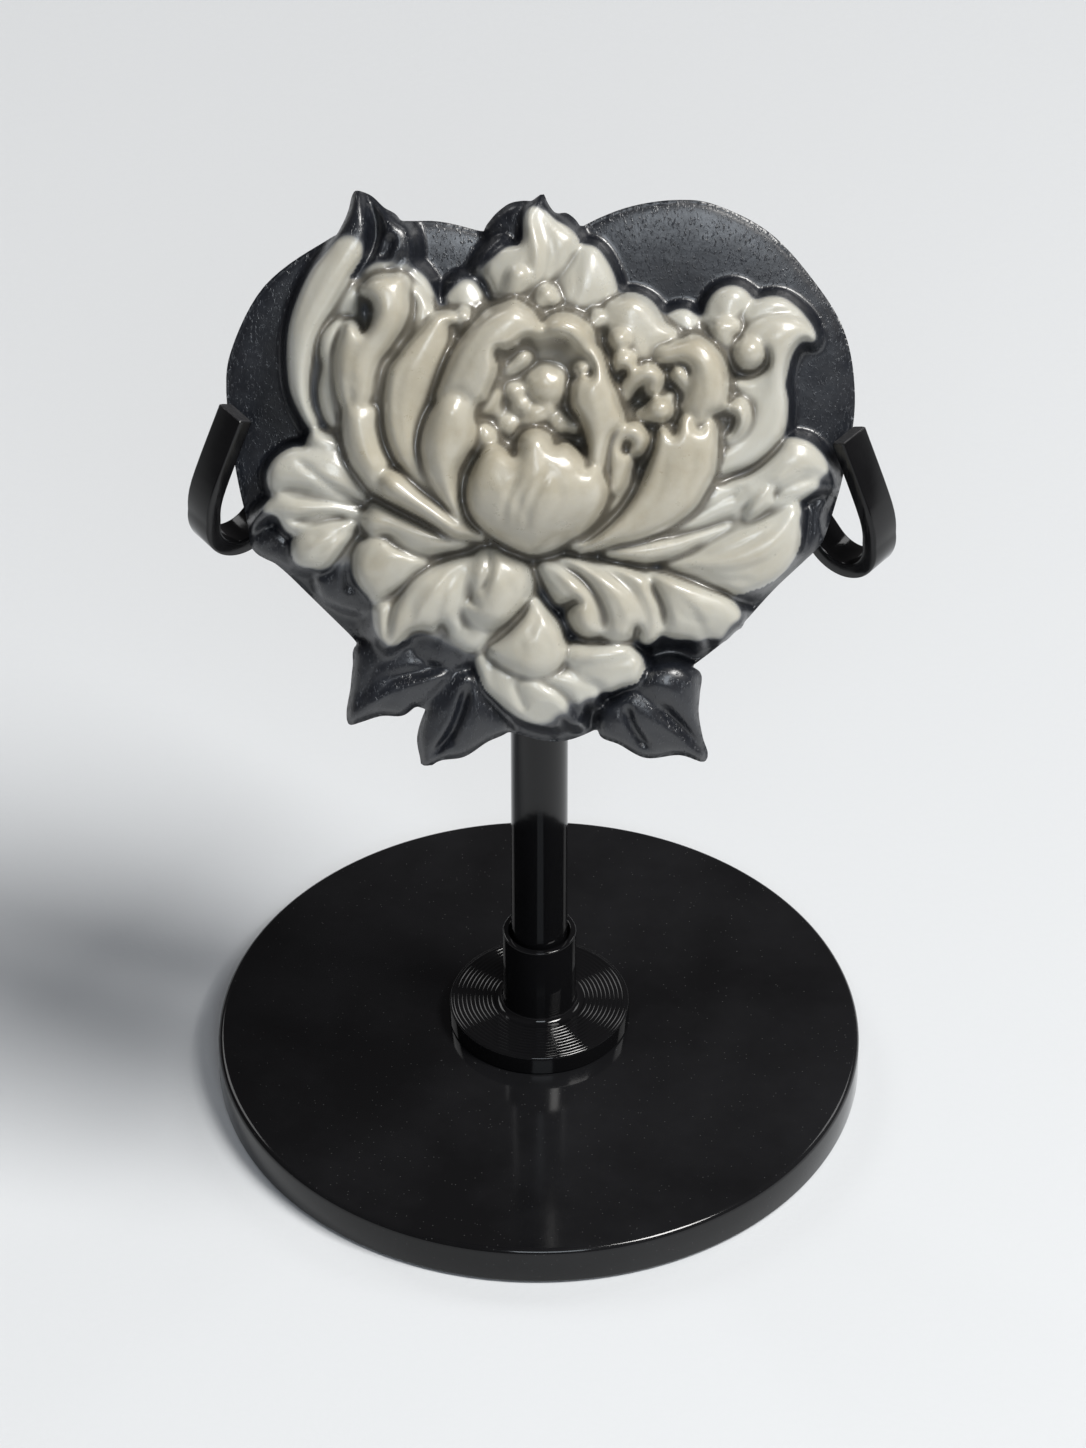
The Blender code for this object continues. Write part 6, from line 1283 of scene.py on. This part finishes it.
@dataclass
class DisplayStand:
    """The disc base, the flanged collar with its turning grooves, and the round post."""

    radius: float = 46.0 * MM
    thickness: float = 6.0 * MM
    top_round: float = 0.9 * MM
    foot_round: float = 0.5 * MM
    post_radius: float = 4.0 * MM
    post_round: float = 0.3 * MM
    setback: float = 3.0 * MM
    flange_radius: float = 12.9 * MM
    flange_height: float = 2.9 * MM
    flange_round: float = 0.4 * MM
    foot_flare: float = 0.9 * MM
    tube_wall: float = 0.95 * MM
    collar_height: float = 16.0 * MM
    lip_round: float = 0.25 * MM
    groove_count: int = 10
    groove_first: float = 6.7 * MM
    groove_pitch: float = 0.6 * MM
    groove_round: float = 0.5 * MM
    groove_proud: float = 0.11 * MM
    gloss: LacquerFinish = LacquerFinish("gloss_black_lacquer")
    satin: LacquerFinish = LacquerFinish("satin_black_lacquer", roughness=0.1, dust=0.35, ripple=0.000006)

    def build(self) -> None:
        """Build the base, collar, grooves and post."""
        gloss = self.gloss.make()
        self.base(self.satin.make())
        self.collar(gloss)
        self.grooves(gloss)
        self.post(gloss)

    def base(self, material: bpy.types.Material) -> None:
        """Build the disc, with its round top edge."""
        profile = [(0.0, self.thickness)]
        profile += quarter(self.top_round, self.radius - self.top_round,
                           self.thickness - self.top_round, math.pi / 2)
        profile += quarter(self.foot_round, self.radius - self.foot_round, self.foot_round, 0.0)
        profile.append((0.0, 0.0))
        part = TurnedPart("disc_base", profile, 0.0, setback=0.0, steps=256)
        new_piece(part.name, part.mesh(), material, Slot.BASE, "stand_base")

    def collar(self, material: bpy.types.Material) -> None:
        """Build the collar: a flange, a small flare and a tube with a thin lip."""
        bore = self.post_radius + FIT_GAP
        tube = bore + self.tube_wall
        lip = self.lip_round
        edge = self.flange_round
        profile = quarter(lip, bore + lip, self.collar_height - lip, math.pi, 4)
        profile += quarter(lip, tube - lip, self.collar_height - lip, math.pi / 2, 4)
        for k in range(9):
            angle = math.pi / 2 * k / 8
            profile.append((tube + self.foot_flare * (1.0 - math.cos(angle)),
                            self.flange_height + self.foot_flare * (1.0 - math.sin(angle))))
        profile += quarter(edge, self.flange_radius - edge, self.flange_height - edge, math.pi / 2)
        profile += [(self.flange_radius, 0.0), (bore, 0.0)]
        part = TurnedPart("flanged_collar", profile, self.thickness + FIT_GAP, closed=True)
        new_piece(part.name, part.mesh(), material, Slot.LACQUER, "stand_collar")

    def post(self, material: bpy.types.Material) -> None:
        """Build the round post, as long as its CAD node."""
        low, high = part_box("stand_post")
        length = high[2] - low[2]
        edge = self.post_round
        profile = [(0.0, length)]
        profile += quarter(edge, self.post_radius - edge, length - edge, math.pi / 2)
        profile += quarter(edge, self.post_radius - edge, edge, 0.0)
        profile.append((0.0, 0.0))
        part = TurnedPart("round_post", profile, low[2])
        new_piece(part.name, part.mesh(), material, Slot.LACQUER, "stand_post")

    def grooves(self, material: bpy.types.Material) -> None:
        """Lay the fine turned rings on the flange, by a tree of Geometry Nodes."""
        rings = RingTree("turning_grooves", material)
        flange_top = self.thickness + FIT_GAP + self.flange_height
        mesh = rings.grow({"Count": self.groove_count, "First radius": self.groove_first,
                           "Pitch": self.groove_pitch, "Round": self.groove_round,
                           "Height": flange_top + self.groove_proud - self.groove_round,
                           "Setback": self.setback})
        new_piece("turning_grooves", mesh, material, Slot.LACQUER)


class RingTree:
    """Geometry Nodes that lay evenly spaced rings of a round section about an upright axis."""

    INPUTS = {"Count": "NodeSocketInt", "First radius": "NodeSocketFloat", "Pitch": "NodeSocketFloat",
              "Round": "NodeSocketFloat", "Height": "NodeSocketFloat", "Setback": "NodeSocketFloat"}
    ROUND_STEPS = 128
    SECTION_STEPS = 24

    def __init__(self, name: str, material: bpy.types.Material) -> None:
        """Build the tree.

        Args:
            name: The tree's name.
            material: What its rings are made of.
        """
        self.tree = bpy.data.node_groups.new(name, "GeometryNodeTree")
        self.sockets = {}
        for socket, kind in self.INPUTS.items():
            made = self.tree.interface.new_socket(socket, in_out="INPUT", socket_type=kind)
            self.sockets[socket] = made.identifier
        self.tree.interface.new_socket("Geometry", in_out="OUTPUT", socket_type="NodeSocketGeometry")
        given = self.tree.nodes.new("NodeGroupInput").outputs
        centre = self.add("ShaderNodeCombineXYZ", {"Y": given["Setback"], "Z": given["Height"]})
        places = self.add("GeometryNodeMeshLine", {
            "Count": given["Count"], "Start Location": centre.outputs[0],
            "Offset": (0.0, 0.0, 0.0)}, mode="OFFSET")
        number = self.add("GeometryNodeInputIndex", {})
        spread = self.add("ShaderNodeMath", {
            0: number.outputs[0], 1: given["Pitch"], 2: given["First radius"]}, operation="MULTIPLY_ADD")
        size = self.add("ShaderNodeCombineXYZ", {
            "X": spread.outputs[0], "Y": spread.outputs[0], "Z": 1.0})
        circle = self.add("GeometryNodeCurvePrimitiveCircle", {
            "Resolution": self.ROUND_STEPS, "Radius": 1.0})
        laid = self.add("GeometryNodeInstanceOnPoints", {
            "Points": places.outputs[0], "Scale": size.outputs[0], "Instance": circle.outputs[0]})
        real = self.add("GeometryNodeRealizeInstances", {"Geometry": laid.outputs[0]})
        section = self.add("GeometryNodeCurvePrimitiveCircle", {
            "Resolution": self.SECTION_STEPS, "Radius": given["Round"]})
        swept = self.add("GeometryNodeCurveToMesh", {
            "Curve": real.outputs[0], "Profile Curve": section.outputs[0]})
        dressed = self.add("GeometryNodeSetMaterial", {
            "Geometry": swept.outputs[0], "Material": material})
        out = self.tree.nodes.new("NodeGroupOutput")
        self.tree.links.new(dressed.outputs[0], out.inputs[0])

    def add(self, kind: str, links: dict[Any, Any], **settings: Any) -> bpy.types.Node:
        """Add a node with its inputs, each an output or a plain value."""
        node = self.tree.nodes.new(kind)
        for name, value in settings.items():
            setattr(node, name, value)
        for name, value in links.items():
            if isinstance(value, bpy.types.NodeSocket):
                self.tree.links.new(value, node.inputs[name])
            else:
                node.inputs[name].default_value = value
        return node

    def grow(self, values: dict[str, Any]) -> bpy.types.Mesh:
        """Run the tree once on those inputs and keep the result as a plain mesh."""
        holder = bpy.data.objects.new(self.tree.name, bpy.data.meshes.new(self.tree.name))
        bpy.context.scene.collection.objects.link(holder)
        grow = holder.modifiers.new("Grow", "NODES")
        grow.node_group = self.tree
        for name, value in values.items():
            grow[self.sockets[name]] = value
        shown = holder.evaluated_get(bpy.context.evaluated_depsgraph_get())
        mesh = bpy.data.meshes.new_from_object(shown)
        bpy.data.objects.remove(holder)
        work = bmesh.new()
        work.from_mesh(mesh)
        bmesh.ops.recalc_face_normals(work, faces=work.faces)
        work.to_mesh(mesh)
        work.free()
        mesh.shade_smooth()
        return mesh


@dataclass
class Cradle:
    """The hub on the post and the two strip arms that end in claws."""

    post_radius: float = 4.0 * MM
    setback: float = 3.0 * MM
    hub_wall: float = 3.0 * MM
    hub_height: float = 9.0 * MM
    hub_roof: float = 2.0 * MM
    hub_round: float = 0.5 * MM
    strip_width: float = 4.8 * MM
    strip_thickness: float = 2.2 * MM
    strip_round: float = 0.3 * MM
    end_soft: float = 0.18 * MM
    saddle_radius: float = 4.9 * MM
    shoulder_radius: float = 3.5 * MM
    leg_height: float = 14.6 * MM
    leg_lean: float = math.radians(20.0)
    back_lean: float = math.radians(45.0)
    foot_lean_share: float = 0.4
    knee_share: float = 0.3
    knee_lean_share: float = 0.45
    tip_lean_share: float = 1.25
    rise_left: float = 6.4 * MM
    rise_right: float = 7.9 * MM
    saddle_drop: float = 2.7 * MM
    grip_height: float = 3.5 * MM
    gap_left: float = 0.9 * MM
    gap_right: float = 2.1 * MM
    finish: CutStripFinish = field(default_factory=CutStripFinish)
    gloss: LacquerFinish = LacquerFinish("hub_lacquer")

    def arm_height(self, relief: PeonyRelief) -> float:
        """Height of the arms behind the relief."""
        grip = relief.centre_height + self.grip_height * math.cos(relief.lean)
        return grip - self.saddle_drop + self.rise_left

    def grip_place(self, relief: PeonyRelief, side: int, gap: float) -> tuple[float, float]:
        """Azimuth and distance, from the post's axis, of the claw that holds the rim on a side."""
        across = relief.rim(self.grip_height, side) + gap
        ahead = (self.setback + relief.forward - self.grip_height * math.sin(relief.lean)
                 - relief.plate / 2 * math.cos(relief.lean))
        return math.atan2(across, ahead), math.hypot(across, ahead)

    def strip_path(self, reach: float, arm_height: float, rise_to_arm: float) -> np.ndarray:
        """Middle line of one arm: out from the hub, down, round under the rim and up in front.

        Args:
            reach: Distance of the claw's saddle from the post's axis.
            arm_height: Height of the arm.
            rise_to_arm: How much higher than the saddle the arm is.

        Returns:
            Points of distance and height, from the hub to the tip.
        """
        saddle = (reach, arm_height - rise_to_arm)
        foot = self.arc(saddle, self.saddle_radius, math.pi + self.back_lean,
                        math.tau + self.leg_lean * self.foot_lean_share, 28)
        back = foot[0]
        bend = self.shoulder_radius
        rise = arm_height - back[1] - bend * (1.0 - math.sin(self.back_lean))
        turn_end = (back[0] - rise * math.tan(self.back_lean), back[1] + rise)
        centre = (turn_end[0] - bend * math.cos(self.back_lean), arm_height - bend)
        shoulder = self.arc(centre, bend, math.pi / 2, self.back_lean, 12)
        front = foot[-1]
        knee_rise = self.knee_share * self.leg_height
        knee = (front[0] - knee_rise * math.tan(self.leg_lean * self.knee_lean_share),
                front[1] + knee_rise)
        tip_rise = self.leg_height - knee_rise
        tip = (knee[0] - tip_rise * math.tan(self.leg_lean * self.tip_lean_share), knee[1] + tip_rise)
        leg = smooth_path([front, knee, tip], False, 6)[1:]
        inner = (self.post_radius + self.hub_wall + FIT_GAP, arm_height)
        return np.array([inner, *shoulder, *foot, *map(tuple, leg)])

    @staticmethod
    def arc(centre: Sequence[float], radius: float, start: float, end: float,
            steps: int) -> list[tuple[float, float]]:
        """Points of an arc."""
        angles = [start + (end - start) * k / steps for k in range(steps + 1)]
        return [(centre[0] + radius * math.cos(a), centre[1] + radius * math.sin(a)) for a in angles]

    def section(self, inset: float) -> list[tuple[float, float]]:
        """The strip's section with round edges, across and through, drawn in by that much."""
        corner = self.strip_round
        half = (self.strip_width / 2 - corner - inset, self.strip_thickness / 2 - corner - inset)
        ring = []
        for sx, sy, start in ((1, 1, 0.0), (-1, 1, 90.0), (-1, -1, 180.0), (1, -1, 270.0)):
            for k in range(5):
                angle = math.radians(start + 90.0 * k / 4)
                ring.append((sx * half[0] + corner * math.cos(angle),
                             sy * half[1] + corner * math.sin(angle)))
        return ring

    def arm(self, name: str, azimuth: float, path: np.ndarray, material: bpy.types.Material) -> None:
        """Sweep the strip along its path and turn it to the claw's azimuth.

        Args:
            name: The CAD node that it replaces.
            azimuth: Direction of the arm, 0 towards -Y and positive towards +X.
            path: Its middle line, as distances and heights.
            material: What it is made of.
        """
        run = np.gradient(path, axis=0)
        run /= np.hypot(run[:, 0], run[:, 1])[:, None]
        soft = self.end_soft
        stations = [(path[0], run[0], soft), (path[0] + run[0] * soft, run[0], 0.0)]
        stations += [(path[k], run[k], 0.0) for k in range(1, len(path) - 1)]
        stations += [(path[-1] - run[-1] * soft, run[-1], 0.0), (path[-1], run[-1], soft)]
        out = Vector((math.sin(azimuth), -math.cos(azimuth), 0.0))
        across = Vector((-out.y, out.x, 0.0))
        verts = []
        for (e, z), (de, dz), inset in stations:
            middle = Vector((0.0, self.setback, 0.0)) + out * float(e) + Vector((0.0, 0.0, float(z)))
            through = out * float(-dz) + Vector((0.0, 0.0, float(de)))
            verts += [middle + across * a + through * b for a, b in self.section(inset)]
        count = len(self.section(0.0))
        faces = [list(range(count))]
        for i in range(len(stations) - 1):
            for k in range(count):
                n = (k + 1) % count
                faces.append([i * count + k, i * count + n, (i + 1) * count + n, (i + 1) * count + k])
        last = (len(stations) - 1) * count
        faces.append(list(range(last, last + count)))
        mesh = mesh_from(name + "_strip", [tuple(p) for p in verts], faces)
        cut = np.zeros(len(verts))
        cut[last:] = 1.0
        mesh.attributes.new("cut", "FLOAT", "POINT").data.foreach_set("value", cut)
        mesh.set_sharp_from_angle(angle=math.radians(35.0))
        new_piece(name + "_strip", mesh, material, Slot.STRIP, name)

    def build(self, relief: PeonyRelief) -> None:
        """Build the hub and both arms round the relief."""
        height = self.arm_height(relief)
        bore = self.post_radius + FIT_GAP
        radius = self.post_radius + self.hub_wall
        edge = self.hub_round
        profile = [(0.0, self.hub_height)]
        profile += quarter(edge, radius - edge, self.hub_height - edge, math.pi / 2)
        profile += quarter(edge, radius - edge, edge, 0.0)
        roof = self.hub_height - self.hub_roof
        profile += [(bore, 0.0), (bore, roof), (0.0, roof)]
        hub = TurnedPart("arm_hub", profile, height - self.hub_height / 2)
        new_piece(hub.name, hub.mesh(), self.gloss.make(), Slot.LACQUER, "cradle_hub")
        strip = self.finish.make()
        for name, side, gap, rise in (("cradle_arm_left", -1, self.gap_left, self.rise_left),
                                      ("cradle_arm_right", 1, self.gap_right, self.rise_right)):
            azimuth, reach = self.grip_place(relief, side, gap)
            self.arm(name, side * azimuth, self.strip_path(reach, height, rise), strip)


@dataclass(frozen=True)
class SoftBox:
    """One soft box: where it hangs, how large and how strong it is, and its colour."""

    name: str
    place: tuple[float, float, float]
    size: tuple[float, float]
    power: float
    colour: Colour = (1.0, 1.0, 1.0)


@dataclass
class Studio:
    """The pale floor, the soft lights and the camera."""

    boxes: tuple[SoftBox, ...] = (
        SoftBox("key_box", (0.86, -0.51, 1.66), (0.6, 0.6), 48.0, (1.0, 0.985, 0.96)),
        SoftBox("front_box", (0.1, -1.0, 0.85), (0.45, 0.35), 4.0, (0.86, 0.93, 1.0)),
        SoftBox("left_box", (-0.75, 0.85, 0.95), (0.5, 0.5), 2.5),
        SoftBox("right_box", (0.85, 0.75, 0.95), (0.4, 0.4), 2.0))
    light_aim: tuple[float, float, float] = (0.0, -0.02, 0.1)
    room_colour: Colour = (0.2, 0.19, 0.195)
    room_strength: float = 0.38
    floor_side: float = 6.0
    floor_colour: Colour = (0.6, 0.617, 0.635)
    lens: float = 174.03
    pitch: float = math.radians(39.882)
    yaw: float = math.radians(2.0)
    distance: float = 0.969152
    aim_height: float = 0.062945
    aim_side: float = 0.0006146

    def floor(self) -> None:
        """Lay the floor under the base."""
        half = self.floor_side / 2
        mesh = bpy.data.meshes.new("floor")
        mesh.from_pydata([(-half, -half, 0), (half, -half, 0), (half, half, 0), (-half, half, 0)], [],
                         [(0, 1, 2, 3)])
        s = Shading("pale_floor")
        s.set(Base_Color=(*self.floor_colour, 1.0), Roughness=0.6)
        s.bump([(s.noise(900.0, 3.0, 0.6), 0.00004)])
        mesh.materials.append(s.material)
        obj = bpy.data.objects.new("floor", mesh)
        obj.location.z = -0.0002
        bpy.context.scene.collection.objects.link(obj)

    def light(self, box: SoftBox) -> None:
        """Hang one soft box, turned to the object."""
        data = bpy.data.lights.new(box.name, "AREA")
        data.shape = "RECTANGLE"
        data.size, data.size_y = box.size
        data.energy = box.power
        data.color = box.colour
        obj = bpy.data.objects.new(box.name, data)
        obj.location = box.place
        to_object = Vector(self.light_aim) - Vector(box.place)
        obj.rotation_euler = to_object.to_track_quat("-Z", "Y").to_euler()
        bpy.context.scene.collection.objects.link(obj)

    def lights(self) -> None:
        """Hang the soft boxes and set the dim room round them."""
        for box in self.boxes:
            self.light(box)
        world = bpy.data.worlds.new("room")
        world.use_nodes = True
        background = world.node_tree.nodes["Background"].inputs
        background["Color"].default_value = (*self.room_colour, 1.0)
        background["Strength"].default_value = self.room_strength
        bpy.context.scene.world = world
        bpy.context.scene.view_settings.view_transform = "Standard"

    def camera(self) -> None:
        """Set the camera at the photograph's angle."""
        ahead = Vector((-math.sin(self.yaw) * math.cos(self.pitch),
                        math.cos(self.yaw) * math.cos(self.pitch), -math.sin(self.pitch)))
        right = Vector((math.cos(self.yaw), math.sin(self.yaw), 0.0))
        up = right.cross(ahead)
        data = bpy.data.cameras.new("photo_angle")
        data.lens = self.lens
        data.sensor_width = 36.0
        data.clip_start = 0.05
        obj = bpy.data.objects.new("photo_angle", data)
        place = Vector((0.0, 0.0, self.aim_height)) - ahead * self.distance + right * self.aim_side
        turn = Matrix((right, up, -ahead)).transposed()
        obj.matrix_world = Matrix.Translation(place) @ turn.to_4x4()
        bpy.context.scene.collection.objects.link(obj)
        bpy.context.scene.camera = obj

    def build(self) -> None:
        """Lay the floor, hang the lights and set the camera."""
        self.floor()
        self.lights()
        self.camera()


def main() -> None:
    """Build the sub-assemblies in order."""
    logging.basicConfig(level=logging.INFO, format="%(message)s")
    relief = PeonyRelief()
    Studio().build()
    DisplayStand().build()
    Cradle().build(relief)
    relief.build()


if __name__ == "__main__":
    main()
